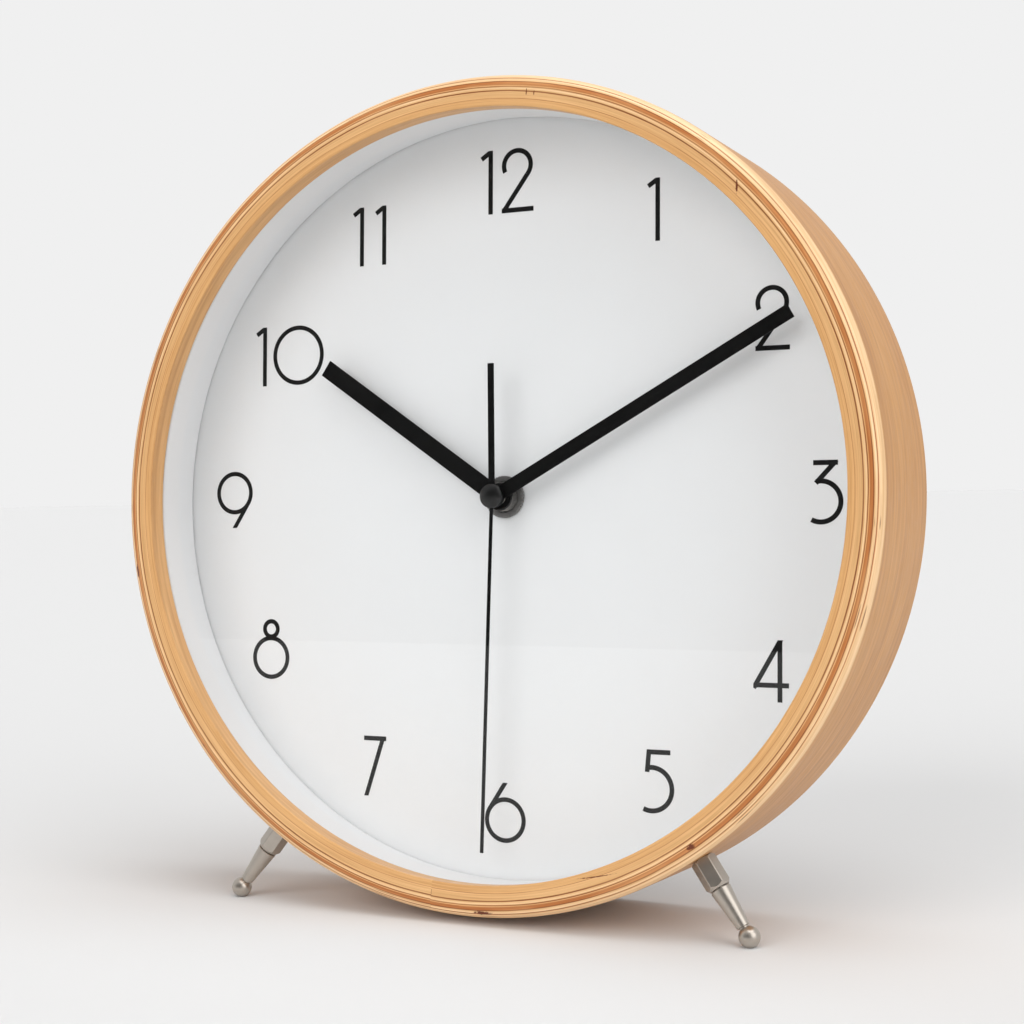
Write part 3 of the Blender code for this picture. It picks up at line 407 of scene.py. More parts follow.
# Radii of the plies on the cut faces as (radius, ply, shade), with the seams between them.
PLY_START = 0.1025
PLY_END = 0.1125
# The pale ply is a real ply on the flat face; out on the rounded outer edge its lighter colour is a painted
# highlight.
PLIES = [
    (0.10250, "inner", 1.0),
    (0.10492, "inner", 1.0),
    (0.10502, "line", 1.15),
    (0.10514, "light", 0.95),
    (0.10650, "light", 0.88),
    (0.10690, "light", 0.95),
    (0.10704, "line", 0.85),
    (0.10724, "line", 0.80),
    (0.10738, "light", 0.95),
    (0.10790, "pale_ply_and_highlight", 0.95),
    (0.10812, "light", 0.90),
    (0.10822, "line", 1.0),
    (0.10836, "line", 1.0),
    (0.10848, "light", 1.0),
    (0.10874, "brown", 0.98),
    (0.10946, "brown", 1.08),
    (0.10956, "line", 0.85),
    (0.10968, "line", 0.85),
    (0.10980, "light", 1.0),
    # Out here on the rounded edge the pale bands are widened and lightened as a painted highlight
    (0.11010, "pale_ply_and_highlight", 0.98),
    (0.11044, "pale_ply_and_highlight", 0.98),
    (0.11056, "line", 0.95),
    (0.11068, "brown", 1.10),
    (0.11082, "pale_ply_and_highlight", 1.0),
    (0.11188, "pale_ply_and_highlight", 1.0),
    (0.11198, "outer", 1.0),
    (0.11250, "outer", 1.0),
]
OPEN_SEAMS = (0.11118, 0.11004)
SEAM_FADE = (0.00005, 0.00014)      # an open seam fades out between these distances from its middle
SEAM_GAPS = (0.58, 0.66)            # values of the gap noise over which a seam opens
SEAM_SHARE = 0.75                   # an open seam is this much as dark as a knot

# The plies wander by up to this much, slowly and fast, and stop wandering between these radii.
WANDER = {"slow": 0.00028, "fast": 0.00007}
CALM = (0.1104, 0.1117)

# Dark plies and lines are strong in some stretches and partly light in others.
SWELL = (0.38, 0.58)
FAINTNESS = 0.3

# Noise over the unrolled hoop: features per metre along it, across the plies and front to back, then
# its detail and roughness.
GRAIN = {
    "slow": ((22.0, 160.0, 60.0), 2.0, 0.5),
    "fast": ((160.0, 900.0, 300.0), 3.0, 0.5),
    "swell": ((34.0, 420.0, 80.0), 3.0, 0.6),
    "streaks": ((28.0, 2600.0, 620.0), 4.0, 0.62),
    "fibres": ((260.0, 5200.0, 2400.0), 3.0, 0.6),
    "clouds": ((9.0, 60.0, 45.0), 3.0, 0.55),
    "ragged": ((1500.0, 2600.0, 900.0), 3.0, 0.6),
    "gaps": ((75.0, 10.0, 40.0), 2.0, 0.5),
}

# Knots and cracks on the hoop's face: (degrees anticlockwise from three o'clock, radius, half length
# along the hoop, half width across the plies, lean). They fade out behind the face.
MARKS = [
    (191.0, 0.1097, 0.0021, 0.00045, 0.0),
    (272.6, 0.1103, 0.0024, 0.00050, 0.0),
    (213.0, 0.1108, 0.0006, 0.00026, 0.0),
    (220.0, 0.1096, 0.0005, 0.00022, 0.0),
    (305.5, 0.1089, 0.0012, 0.00065, 0.0),
    (45.0, 0.1066, 0.0017, 0.00028, 0.785),
    (80.6, 0.1069, 0.0009, 0.00018, 1.5),
    (79.4, 0.1069, 0.0006, 0.00016, 1.5),
    (264.6, 0.1063, 0.0009, 0.00012, 1.57),
    (291.0, 0.1050, 0.0048, 0.00014, 0.16),
]
MARK_DEPTH = (-0.0045, -0.0030)


def unrolled_hoop(wiring, middle_radius):
    """Place on the hoop laid out flat, then its parts: along it, radius and depth."""
    turn = {"Vector": wiring.place(), "Rotation": (0, 0, math.radians(180 - SCARF_ANGLE))}
    x, y, depth = wiring.node("SeparateXYZ", {"Vector": wiring.node("Mapping", turn)}).node.outputs
    squares = [wiring.math("POWER", each, 2.0) for each in (x, y)]
    radius = wiring.math("SQRT", wiring.math("ADD", *squares))
    along = wiring.math("MULTIPLY", wiring.math("ARCTAN2", y, x), middle_radius)
    return wiring.node("CombineXYZ", {"X": along, "Y": radius, "Z": depth}), along, radius, depth


def ply_colours(wiring, ply_radius, swell, sizes):
    """Colour of each ply and seam, with the dark ones stronger in some stretches."""
    colours = {
        "outer": sizes.veneer,
        # pale ply on the face, and a painted highlight on the rounded edge
        "pale_ply_and_highlight": sizes.pale_ply_and_edge_highlight,
        "light": sizes.light_ply,
        "brown": sizes.brown_ply,
        "line": sizes.glue_line,
        "inner": sizes.inner_ply,
    }
    strong, faint = [], []
    for spot, ply, factor in PLIES:
        share = (spot - PLY_START) / (PLY_END - PLY_START)
        strong.append((share, shade(colours[ply], factor)))
        faintness = FAINTNESS if ply in ("line", "brown") else 0.0
        pale = Vector(colours[ply]).lerp(Vector(sizes.light_ply), faintness)
        faint.append((share, shade(pale, factor)))
    across = wiring.spread(ply_radius, 0.0, 1.0, PLY_START, PLY_END)
    strength = wiring.spread(swell, 0.0, 1.0, *SWELL)
    return wiring.blend(strength, wiring.ramp(across, faint), wiring.ramp(across, strong))


def face_marks(wiring, along, radius, depth, ragged, middle_radius):
    """Share of dark over the knots and cracks, each an uneven spot on the unrolled hoop."""
    place = wiring.node("CombineXYZ", {"X": along, "Y": radius, "Z": 0.0})
    frayed = wiring.spread(ragged, -0.45, 0.45, 0.25, 0.75)
    masks = []
    for degrees, spot_radius, half_length, half_width, lean in MARKS:
        spot = math.radians((degrees - SCARF_ANGLE) % 360 - 180) * middle_radius
        back = Matrix.Rotation(-lean, 2) @ Vector((spot, spot_radius))
        laid = {"Vector": place, "Rotation": (0, 0, -lean), "Location": (-back.x, -back.y, 0)}
        scaled = wiring.stretch(wiring.node("Mapping", laid), (1 / half_length, 1 / half_width, 0))
        reach = wiring.node("VectorMath", {0: scaled}, "Value", operation="LENGTH")
        masks.append(wiring.spread(wiring.math("ADD", reach, frayed), 1.0, 0.0, 0.75, 1.15))
    return wiring.math("MULTIPLY", wiring.most(masks), wiring.spread(depth, 0.0, 1.0, *MARK_DEPTH))


def open_seams(wiring, ply_radius, gaps):
    """Share of dark where the outer glue lines are broken."""
    seams = []
    for seam in OPEN_SEAMS:
        away = wiring.math("ABSOLUTE", wiring.math("SUBTRACT", ply_radius, seam))
        seams.append(wiring.spread(away, 1.0, 0.0, *SEAM_FADE))
    broken = wiring.math("MULTIPLY", wiring.most(seams), wiring.spread(gaps, 0.0, 1.0, *SEAM_GAPS))
    return wiring.math("MULTIPLY", broken, SEAM_SHARE)


def plywood(name, sizes):
    """Bent plywood: plies show as rings on the cut faces, and long grain runs round the outside."""
    wiring = Wiring(name, Coat_Weight=0.1, Coat_Roughness=0.3, Specular_IOR_Level=0.35)
    unrolled, along, radius, depth = unrolled_hoop(wiring, sizes.middle_radius)
    grain = {}
    for key, (scale, detail, rough) in GRAIN.items():
        grain[key] = wiring.noise(wiring.stretch(unrolled, scale), 1.0, detail, rough)
    streaks, fibres = grain["streaks"], grain["fibres"]
    wander = wiring.math("ADD", *(wiring.spread(grain[key], -far, far) for key, far in WANDER.items()))
    calm = wiring.spread(radius, 1.0, 0.0, *CALM)
    ply_radius = wiring.math("ADD", radius, wiring.math("MULTIPLY", wander, calm))
    plies = ply_colours(wiring, ply_radius, grain["swell"], sizes)

    # long streaks round the hoop, finer across the plies; the darker they are, the browner
    tone = wiring.spread(streaks, 0.72, 1.13, *MIDDLE)
    tone = wiring.math("ADD", tone, wiring.spread(fibres, -0.08, 0.08))
    tone = wiring.math("ADD", tone, wiring.spread(grain["clouds"], -0.09, 0.07, *MIDDLE))
    browned = {0: wiring.math("POWER", tone, 0.7), 1: tone, 2: wiring.math("POWER", tone, 1.4)}
    grained = wiring.blend(1.0, plies, wiring.node("CombineColor", browned), "MULTIPLY")

    marks = face_marks(wiring, along, radius, depth, grain["ragged"], sizes.middle_radius)
    dark = wiring.most([marks, open_seams(wiring, ply_radius, grain["gaps"])])
    wiring.colour(wiring.blend(dark, grained, solid(sizes.knot)))
    wiring.roughness(wiring.spread(fibres, 0.34, 0.50, *MIDDLE))
    sunk = wiring.math("MULTIPLY", dark, 0.5)
    height = wiring.math("SUBTRACT", wiring.math("MULTIPLY", fibres, 0.4), sunk)
    height = wiring.math("ADD", height, wiring.math("MULTIPLY", streaks, 0.35))
    wiring.bump(height, 0.00004, 0.6)
    return wiring.material


def window_glass(name, sizes):
    """Clear pane: see-through, with reflections that grow towards grazing angles."""
    wiring = Wiring(name)
    place = wiring.place()
    wave = wiring.noise(place, 9.0, 1.0)
    clear = wiring.node("BsdfTransparent", {"Color": solid(sizes.glass_tint)})
    gloss = wiring.node("BsdfGlossy", {"Color": (1.0, 1.0, 1.0, 1.0)})
    wiring.plug(gloss.node.inputs["Roughness"], wiring.spread(wave, 0.0, 0.015))
    facing = wiring.node("NewGeometry", {}, "Backfacing")
    fresnel = wiring.node("Fresnel", {"IOR": 1.45})
    share = wiring.math("MULTIPLY", fresnel, wiring.math("SUBTRACT", 1.0, facing))
    mixed = wiring.node("MixShader", {0: share, 1: clear, 2: gloss}, "Shader")
    wiring.tree.nodes.remove(wiring.shader)
    wiring.tree.links.new(mixed, wiring.output.inputs["Surface"])
    return wiring.material


def wood(name, colour, grain=(40.0, 1200.0, 1200.0)):
    """Plain softwood or veneer with straight grain along X."""
    wiring = Wiring(name)
    place = wiring.place()
    streaks = wiring.noise(wiring.stretch(place, grain), 1.0, 4.0, 0.6)
    fibres = wiring.noise(wiring.stretch(place, tuple(3 * each for each in grain)), 1.0, 3.0)
    stops = [(0.3, shade(colour, 0.62)), (0.5, colour), (0.72, shade(colour, 1.15))]
    wiring.colour(wiring.ramp(streaks, stops))
    wiring.roughness(wiring.spread(fibres, 0.55, 0.8, *MIDDLE))
    wiring.bump(fibres, 0.00006)
    return wiring.material


def pressed_board(name, colour):
    """Hardboard or fibreboard: matted short fibres, lighter and darker, with tiny pits."""
    wiring = Wiring(name)
    place = wiring.place()
    mat = wiring.noise(wiring.stretch(place, (900.0, 1500.0, 1200.0)), 1.0, 5.0, 0.7)
    cross = wiring.noise(wiring.stretch(place, (1900.0, 600.0, 1200.0)), 1.0, 5.0, 0.7)
    clouds = wiring.noise(place, 30.0, 4.0)
    mixed = wiring.math("MULTIPLY", wiring.math("ADD", mat, cross), 0.5)
    stops = [(0.32, shade(colour, 0.55)), (0.47, shade(colour, 0.95)), (0.62, shade(colour, 1.45))]
    speckled = wiring.ramp(mixed, stops)
    wiring.colour(wiring.blend(wiring.spread(clouds, 0.0, 0.35), speckled, solid(shade(colour, 1.3))))
    wiring.roughness(wiring.spread(mixed, 0.62, 0.85, 0.35, 0.65))
    wiring.bump(mixed, 0.00010)
    return wiring.material


def threaded(name, sizes, crest):
    """Black screw thread whose crests are rubbed down to bare metal; the bare band is drawn wide as a painted
    glint on each crest.
    """
    wiring = Wiring(name)
    place = wiring.place()
    flat = wiring.node("VectorMath", {0: place, 1: (1.0, 1.0, 0.0)}, operation="MULTIPLY")
    radius = wiring.node("VectorMath", {0: flat}, "Value", operation="LENGTH")
    wear = wiring.noise(place, 900.0, 3.0)
    worn = wiring.math("ADD", radius, wiring.spread(wear, -0.00002, 0.00002))
    # bare steel colour on the crests: partly real wear, partly a painted glint that lightens each crest
    bare = wiring.spread(worn, 0.0, 1.0, crest - 0.00009, crest - 0.00003)
    wiring.colour(wiring.blend(bare, solid(sizes.plastic), solid(sizes.steel)))
    wiring.plug(wiring.shader.inputs["Metallic"], wiring.math("MULTIPLY", bare, 0.4))
    wiring.roughness(wiring.spread(wear, 0.25, 0.5, *MIDDLE))
    wiring.bump(wear, 0.00001)
    return wiring.material


def wrapped_cell(name, sizes, low, high):
    """Dry cell: printed wrap with a lighter band towards the plus end, bare steel on the ends."""
    wiring = Wiring(name)
    place = wiring.place(Matrix.Translation((low.x, (low.y + high.y) / 2, (low.z + high.z) / 2)))
    parts = wiring.node("SeparateXYZ", {"Vector": place}).node.outputs
    length = high.x - low.x
    share = wiring.math("DIVIDE", parts[0], length)
    steel, wrap, band = sizes.steel, sizes.wrap, sizes.wrap_band
    wrap_start, wrap_end, band_start, band_end = 0.012, 0.957, 0.705, 0.73
    pale_wrap, black, white = shade(wrap, 1.8), (0, 0, 0), (1, 1, 1)
    stops = [(0.0, steel), (wrap_start, wrap), (band_start, band), (band_end, pale_wrap), (wrap_end, steel)]
    colours = wiring.ramp(share, stops)
    bare = wiring.ramp(share, [(0.0, white), (wrap_start, black), (wrap_end, white)])
    for ramp in (colours, bare):
        ramp.node.color_ramp.interpolation = "CONSTANT"
    scuffs = wiring.noise(wiring.stretch(place, (300.0, 900.0, 900.0)), 1.0, 4.0)
    wiring.colour(wiring.blend(wiring.spread(scuffs, 0.0, 0.3), colours, solid(shade(wrap, 1.4))))
    wiring.plug(wiring.shader.inputs["Metallic"], bare)
    wiring.roughness(wiring.spread(scuffs, 0.22, 0.42, *MIDDLE))
    wiring.bump(scuffs, 0.00001)
    return wiring.material


def wound_wire(name, colour):
    """Coil of fine lacquered wire, wound round the X axis, with painted shade between the turns and a painted
    highlight on each turn.
    """
    wiring = Wiring(name, 1.0)
    place = wiring.place()
    turns = wiring.node("TexWave", {"Vector": place, "Scale": 1100.0, "Distortion": 0.4}, "Fac")
    # each turn darker at its edges and lighter on its crown: painted shade in the grooves and a painted highlight
    wiring.colour(wiring.ramp(turns, [(0.0, shade(colour, 0.35)), (0.5, colour), (1.0, shade(colour, 1.2))]))
    wiring.roughness(wiring.spread(turns, 0.45, 0.25))
    wiring.bump(turns, 0.00005)
    return wiring.material


# --- sizes and colours that a user would change -----------------------------------------------------
def size(name, description, default):
    return FloatProperty(name=name, description=description, default=default, unit="LENGTH", precision=5)


def turn(name, description, degrees):
    """Angle property from degrees."""
    return FloatProperty(name=name, description=description, default=math.radians(degrees), subtype="ANGLE")


def tint(name, description, red, green, blue):
    """Colour property from display values of 0 to 255."""
    linear = []
    for value in (red, green, blue):
        share = value / 255
        linear.append(share / 12.92 if share <= 0.04045 else ((share + 0.055) / 1.055) ** 2.4)
    return FloatVectorProperty(
        name=name, description=description, default=linear, subtype="COLOR", size=3, min=0.0, max=1.0
    )


class CLOCKLOOKS_PG_case(bpy.types.PropertyGroup):
    """Hoop, glass, liner and dial."""

    steps: IntProperty(name="Steps", description="Facets round the hoop", default=288, min=48, max=720)
    front_rounding: size("Front rounding", "Radius of the hoop's outer front edge", 0.0038)
    edge_rounding: size("Edge rounding", "Radius of the hoop's small edges", 0.0004)
    lip_depth: size("Lip depth", "Depth of the lip that the glass rests on", 0.0066)
    lip_draft: size("Lip draft", "How much the lip opens towards the glass", 0.0007)
    rebate_radius: size("Rebate radius", "Inside of the hoop behind the lip", 0.107)
    middle_radius: size("Middle radius", "Radius that the grain is unrolled at", 0.109)
    veneer: tint("Veneer", "Outside of the hoop", 206, 148, 80)
    # Pale ply on the face, and the painted highlight on the rounded front edge
    pale_ply_and_edge_highlight: tint("Cream ply", "Pale outermost ply on the rounded edge", 247, 208, 160)
    light_ply: tint("Light ply", "Long-grain plies", 230, 181, 124)
    brown_ply: tint("Brown ply", "Cross-grain ply", 182, 112, 58)
    glue_line: tint("Glue line", "Thin seams between plies", 142, 78, 36)
    inner_ply: tint("Inner ply", "Inner wall of the hoop", 217, 167, 110)
    knot: tint("Knots", "Knots and open cracks", 106, 50, 24)
    glass_tint: tint("Glass tint", "Faint colour of the glass", 254, 254, 254)
    liner: tint("Liner", "White moulded liner", 235, 236, 237)
    dial: tint("Dial", "Dial face", 234, 236, 237)


class CLOCKLOOKS_PG_numerals(bpy.types.PropertyGroup):
    """Printed numerals."""

    stroke: size("Stroke", "Width of a numeral's stroke", 0.0013)
    height: size("Ink height", "How far the ink stands off the dial", 0.00006)
    ink: tint("Ink", "Numeral colour", 22, 22, 22)


class CLOCKLOOKS_PG_hands(bpy.types.PropertyGroup):
    """Hands, cap and the stack on the dial axis."""

    edge: size("Edge", "Rounding of the hands' edges", 0.00007)
    thread_pitch: size("Thread pitch", "Pitch of the bush's thread", 0.0006)
    thread_height: size("Thread height", "Height of the thread's crest over its root", 0.00035)
    serration: size("Serration", "Depth of the nut's serrations", 0.0003)
    paint: tint("Paint", "Hands", 11, 11, 11)
    cap: tint("Cap", "Dome over the hands", 14, 14, 14)
    nut: tint("Nut", "Knurled nut", 120, 119, 117)
    plastic: tint("Black", "Blackened bush and plastic", 20, 20, 20)
    steel: tint("Bare steel", "Bare metal", 176, 173, 168)


class CLOCKLOOKS_PG_legs(bpy.types.PropertyGroup):
    """Legs."""

    angle: turn("Angle", "From the bottom of the hoop round to each leg", 34)
    splay: turn("Splay", "Sideways lean of a leg", 36)
    tilt: turn("Tilt", "Forward lean of a leg", 5)
    root_depth: size("Root depth", "Depth of the legs' roots behind the front", 0.010)
    across_flats: size("Across flats", "Ferrule, flat to flat", 0.006)
    ferrule: size("Ferrule", "Length of the ferrule from the hoop", 0.0087)
    ferrule_turn: turn("Ferrule turn", "Turn of the hexagon about the leg", 12)
    top_radius: size("Top radius", "Taper at its top", 0.00275)
    neck_radius: size("Neck radius", "Taper at its foot", 0.00175)
    groove_radius: size("Groove radius", "Groove over the ball", 0.0013)
    ball_radius: size("Ball radius", "Ball foot", 0.0028)
    flat_radius: size("Flat radius", "Flat under the ball", 0.001)
    nickel: tint("Nickel", "Satin nickel", 188, 180, 170)


class CLOCKLOOKS_PG_back(bpy.types.PropertyGroup):
    """Back panel, movement case and cell."""

    panel_edge: size("Panel edge", "Rounding of the panel's edges", 0.0003)
    opening_gap: size("Opening gap", "Room round the movement in the panel", 0.0006)
    wall: size("Case wall", "Wall of the movement case", 0.0012)
    corner: size("Case corner", "Rounded upright corners of the movement case", 0.003)
    board: tint("Back panel", "Pressed board", 128, 92, 62)
    pine: tint("Blocks", "Pine blocks", 214, 174, 122)
    plastic: tint("Movement", "Moulded movement case", 34, 34, 35)
    steel: tint("Steel", "Screws and cell ends", 178, 176, 172)
    wrap: tint("Cell wrap", "Wrap of the dry cell", 40, 78, 66)
    wrap_band: tint("Cell band", "Band on the wrap", 214, 206, 190)


class CLOCKLOOKS_PG_studio(bpy.types.PropertyGroup):
    """Floor, light and camera."""

    distance: size("Distance", "Camera from the dial's centre", 0.47690152)
    azimuth: turn("Azimuth", "Camera round to the right of the dial's axis", 27.467044)
    elevation: turn("Elevation", "Camera over the dial's axis", -2.0853786)
    roll: turn("Roll", "Camera roll", 0.2045658)
    aim_right: FloatProperty(name="Aim right", description="Slope right of the centre", default=0.0256995)
    aim_up: FloatProperty(name="Aim up", description="Slope over the centre", default=-0.0099345)
    lens: FloatProperty(name="Lens", description="Focal length in millimetres", default=63.1794)
    floor: tint("Floor", "Pale floor", 225, 225, 225)
    backdrop: tint("Backdrop", "Pale background", 240, 240, 240)
    fill: FloatProperty(name="Fill", description="Strength of the all-round light", default=0.50, min=0.0)
    sun: FloatProperty(name="Main light", description="Strength of all the lights", default=1.0, min=0.0)


SETTINGS = {
    "clock_case": CLOCKLOOKS_PG_case,
    "clock_numerals": CLOCKLOOKS_PG_numerals,
    "clock_hands": CLOCKLOOKS_PG_hands,
    "clock_legs": CLOCKLOOKS_PG_legs,
    "clock_back": CLOCKLOOKS_PG_back,
    "clock_studio": CLOCKLOOKS_PG_studio,
}


# --- case -----------------------------------------------------------------------------------------
def hoop_shape(sizes):
    """Hoop turned from its section, with its outer front edge well rounded."""
    low, high = extent("case_ring")
    lip, outer = radii("case_ring")
    rear, front = low.z, high.z
    ledge = front - sizes.lip_depth
    inner_front = (lip, front)
    section = [
        (outer, rear),
        (outer, front),
        inner_front,
        (lip + sizes.lip_draft, ledge),
        (sizes.rebate_radius, ledge),
        (sizes.rebate_radius, rear),
    ]
    shape = turned(section, sizes.steps)
    round_rings(shape, [(outer, front)], sizes.front_rounding, 10)
    round_rings(shape, [inner_front, (outer, rear), (sizes.rebate_radius, rear)], sizes.edge_rounding, 3)
    return shape


class CLOCKLOOKS_OT_hoop(bpy.types.Operator):
    """Make the bent plywood hoop"""

    bl_idname = "clock_looks.hoop"
    bl_label = "Hoop"

    def execute(self, context):
        sizes = context.scene.clock_case
        finish = plywood("bent_plywood", sizes)
        piece("hoop", hoop_shape(sizes), finish, "case", ["case_ring"], crease=40)
        return {"FINISHED"}


class CLOCKLOOKS_OT_glass(bpy.types.Operator):
    """Make the flat glass with its ground edge"""

    bl_idname = "clock_looks.glass"
    bl_label = "Glass"

    def execute(self, context):
        sizes = context.scene.clock_case
        low, high = extent("glass_lens")
        edge = radii("glass_lens")[1]
        shape = disc(edge, low.z, high.z, sizes.steps // 2)
        round_sharp(shape, sizes.edge_rounding * 0.7)
        finish = window_glass("clear_glass", sizes)
        piece("glass", shape, finish, "case", ["glass_lens"], crease=10, fair=False)
        return {"FINISHED"}


class CLOCKLOOKS_OT_dial(bpy.types.Operator):
    """Make the white liner and the dial plate behind the glass"""

    bl_idname = "clock_looks.dial"
    bl_label = "Liner and dial"

    def execute(self, context):
        sizes = context.scene.clock_case
        low, high = extent("liner_ring")
        inner, outer = radii("liner_ring")
        section = ring_section(low, high, inner, outer)
        liner = turned(section, sizes.steps)
        round_rings(liner, section, sizes.edge_rounding, 3)
        white = moulded("liner_white", sizes.liner, 0.38, 1400.0, 0.000012, 0.012)
        piece("liner", liner, white, "case", ["liner_ring"], crease=10, fair=False)
        low, high = extent("dial_plate")
        inner, outer = radii("dial_plate")
        dial = plate(outer, inner, low.z, high.z)
        round_sharp(dial, sizes.edge_rounding / 4)
        matt = moulded("dial_white", sizes.dial, 0.62, 1400.0, 0.000012, 0.012)
        piece("dial", dial, matt, "case", ["dial_plate"], crease=10, fair=False)
        return {"FINISHED"}


# --- numerals ---------------------------------------------------------------------------------------
# Each glyph is (width, height, strokes) in millimetres, drawn from its lower left corner. A bar is
# ("bar", x, y, x, y) along its middle, square at its ends and trimmed to the glyph's height; a bow is
# ("bow", x, y, radius, start, end) along the middle of its stroke, anticlockwise from three o'clock.
GLYPHS = {
    "0": (17.7, 17.7, [("bow", 8.85, 8.85, 8.2, 0, 360)]),
    "1": (3.7, 17.0, [("bar", 3.05, -1, 3.05, 18), ("bar", 0.35, 14.9, 3.2, 16.75)]),
    "2": (9.4, 17.2, [
        ("bow", 4.6, 12.6, 3.95, -42, 205), ("bar", 7.55, 9.95, 0.35, 0.2), ("bar", 0, 0.65, 9.4, 0.65),
    ]),
    "3": (8.5, 16.5, [
        ("bar", 0.6, 15.85, 7.1, 15.85), ("bar", 6.75, 16.4, 1.3, 10.6), ("bow", 2.6, 5.9, 5.25, -118, 104),
    ]),
    "4": (9.7, 16.2, [
        ("bar", 7.25, -1, 7.25, 17), ("bar", 7.9, 17.0, 0.1, 3.6), ("bar", 0.2, 4.4, 9.7, 4.4),
    ]),
    "5": (8.8, 16.9, [
        ("bar", 1.6, 16.25, 7.8, 16.25), ("bar", 1.75, 16.9, 1.2, 10.9), ("bow", 2.5, 6.4, 5.75, -114, 104),
    ]),
    "6": (13.0, 17.0, [("bow", 6.5, 6.45, 5.8, 0, 360), ("bar", 1.55, 9.45, 8.6, 20.3)]),
    "7": (7.3, 17.1, [("bar", 0, 16.45, 7.3, 16.45), ("bar", 6.75, 18.2, 0.2, -2.0)]),
    "8": (12.7, 17.7, [("bow", 6.35, 6.35, 5.7, 0, 360), ("bow", 6.35, 14.75, 2.25, 0, 360)]),
}
GLYPHS["9"] = (13.0, 17.0, GLYPHS["6"][2])

# Centre of each numeral on the dial in millimetres, with the height it is drawn to and the gap
# between its figures.
NUMERALS = {
    "12": (0.0, 88.1, 17.9, 2.8),
    "1": (43.8, 76.5, 17.0, 0),
    "2": (76.9, 45.6, 17.0, 0),
    "3": (91.3, 0.1, 16.5, 0),
    "4": (76.4, -45.9, 16.0, 0),
    "5": (45.3, -76.1, 16.9, 0),
    "6": (0.1, -87.2, 16.5, 0),
    "7": (-41.5, -76.5, 17.1, 0),
    "8": (-77.1, -43.9, 17.7, 0),
    "9": (-90.4, 0.3, 16.8, 0),
    "10": (-71.3, 42.7, 17.5, 2.3),
    "11": (-44.2, 76.0, 17.1, 3.7),
}
MM = 0.001


def bar_shape(stroke, width, low, high):
    x_start, y_start, x_end, y_end = (value * MM for value in stroke[1:])
    start, end = Vector((x_start, y_start)), Vector((x_end, y_end))
    run = end - start
    shape = block((0, -width / 2, low), (run.length, width / 2, high))
    turn = Matrix.Rotation(math.atan2(run.y, run.x), 4, "Z")
    return moved(shape, Matrix.Translation((*start, 0)) @ turn)


def bow_shape(stroke, width, low, high):
    x, y, radius, start, end = stroke[1:]
    radius = radius * MM
    inner, outer = radius - width / 2, radius + width / 2
    shape = bmesh.new()
    corners = [(inner, low), (outer, low), (outer, high), (inner, high)]
    degrees_per_step, fewest_steps = 4, 12
    whole = end - start >= 360
    geometry = trace(shape, corners, True)
    if not whole:
        face = shape.faces.new([part for part in geometry if isinstance(part, bmesh.types.BMVert)])
        geometry.append(face)
    bmesh.ops.spin(
        shape,
        geom=geometry,
        cent=(0, 0, 0),
        axis=(0, 0, 1),
        angle=math.radians(end - start),
        steps=max(fewest_steps, int((end - start) / degrees_per_step)),
        use_merge=whole,
    )
    clean(shape)
    lay = Matrix.Translation((x * MM, y * MM, 0)) @ Matrix.Rotation(math.radians(start), 4, "Z")
    return moved(shape, lay)


def trim(shape, place, normal):
    """Cut away what lies past a plane, and close the cut."""
    cut = bmesh.ops.bisect_plane(
        shape,
        geom=shape.verts[:] + shape.edges[:] + shape.faces[:],
        plane_co=place,
        plane_no=normal,
        clear_outer=True,
    )
    edges = [part for part in cut["geom_cut"] if isinstance(part, bmesh.types.BMEdge)]
    if edges:
        bmesh.ops.contextual_create(shape, geom=edges)
    bmesh.ops.recalc_face_normals(shape, faces=shape.faces)
    return shape


def glyph_shapes(figure, height, sizes, low, high):
    """Strokes of one figure as closed shapes standing on the X axis, and the figure's width."""
    width, drawn, strokes = GLYPHS[figure]
    scale = height / (drawn * MM)
    shapes = []
    for stroke in strokes:
        maker = bar_shape if stroke[0] == "bar" else bow_shape
        shape = maker(stroke, sizes.stroke, low, high)
        if stroke[0] == "bar":
            trim(shape, (0, drawn * MM, 0), (0, 1, 0))
            trim(shape, (0, 0, 0), (0, -1, 0))
            trim(shape, (width * MM, 0, 0), (1, 0, 0))
            trim(shape, (0, 0, 0), (-1, 0, 0))
        lay = Matrix.Diagonal((scale, scale, 1, 1))
        if figure == "9":
            lay = lay @ Matrix.Translation((width * MM, drawn * MM, 0)) @ Matrix.Rotation(math.pi, 4, "Z")
        shapes.append(moved(shape, lay))
    return shapes, width * MM * scale


class CLOCKLOOKS_OT_numerals(bpy.types.Operator):
    """Print the twelve numerals on the dial"""

    bl_idname = "clock_looks.numerals"
    bl_label = "Numerals"

    def execute(self, context):
        sizes = context.scene.clock_numerals
        face = extent("dial_plate")[1].z
        low, high = face - sizes.height / 4, face + sizes.height
        finish = moulded("numeral_ink", sizes.ink, 0.5, 2200.0, 0.000008, 0.15, Specular_IOR_Level=0.2)
        for numeral, (x, y, height, gap) in NUMERALS.items():
            shapes = []
            width = 0.0
            for figure in numeral:
                made, figure_width = glyph_shapes(figure, height * MM, sizes, low, high)
                width += gap * MM if width else 0.0
                for shape in made:
                    shapes.append(moved(shape, Matrix.Translation((width, 0, 0))))
                width += figure_width
            lay = Matrix.Translation((x * MM - width / 2, (y - height / 2) * MM, 0))
            shape = moved(combined(shapes), lay)
            piece(f"numeral_{numeral}", shape, finish, "case", crease=25)
        return {"FINISHED"}


# --- hands and the stack on the dial axis -----------------------------------------------------------
# (name, node, body, reach, width, clock angle, boss radius)
HANDS = (
    ("hour_blade", "hour_hand", "hour", 0.067, 0.0050, 304.3, 0.0035),
    ("minute_blade", "minute_hand", "minute", 0.0958, 0.0039, 61.1, 0.00295),
)
BORE_SHARE = 0.72       # bore of a boss, against its radius

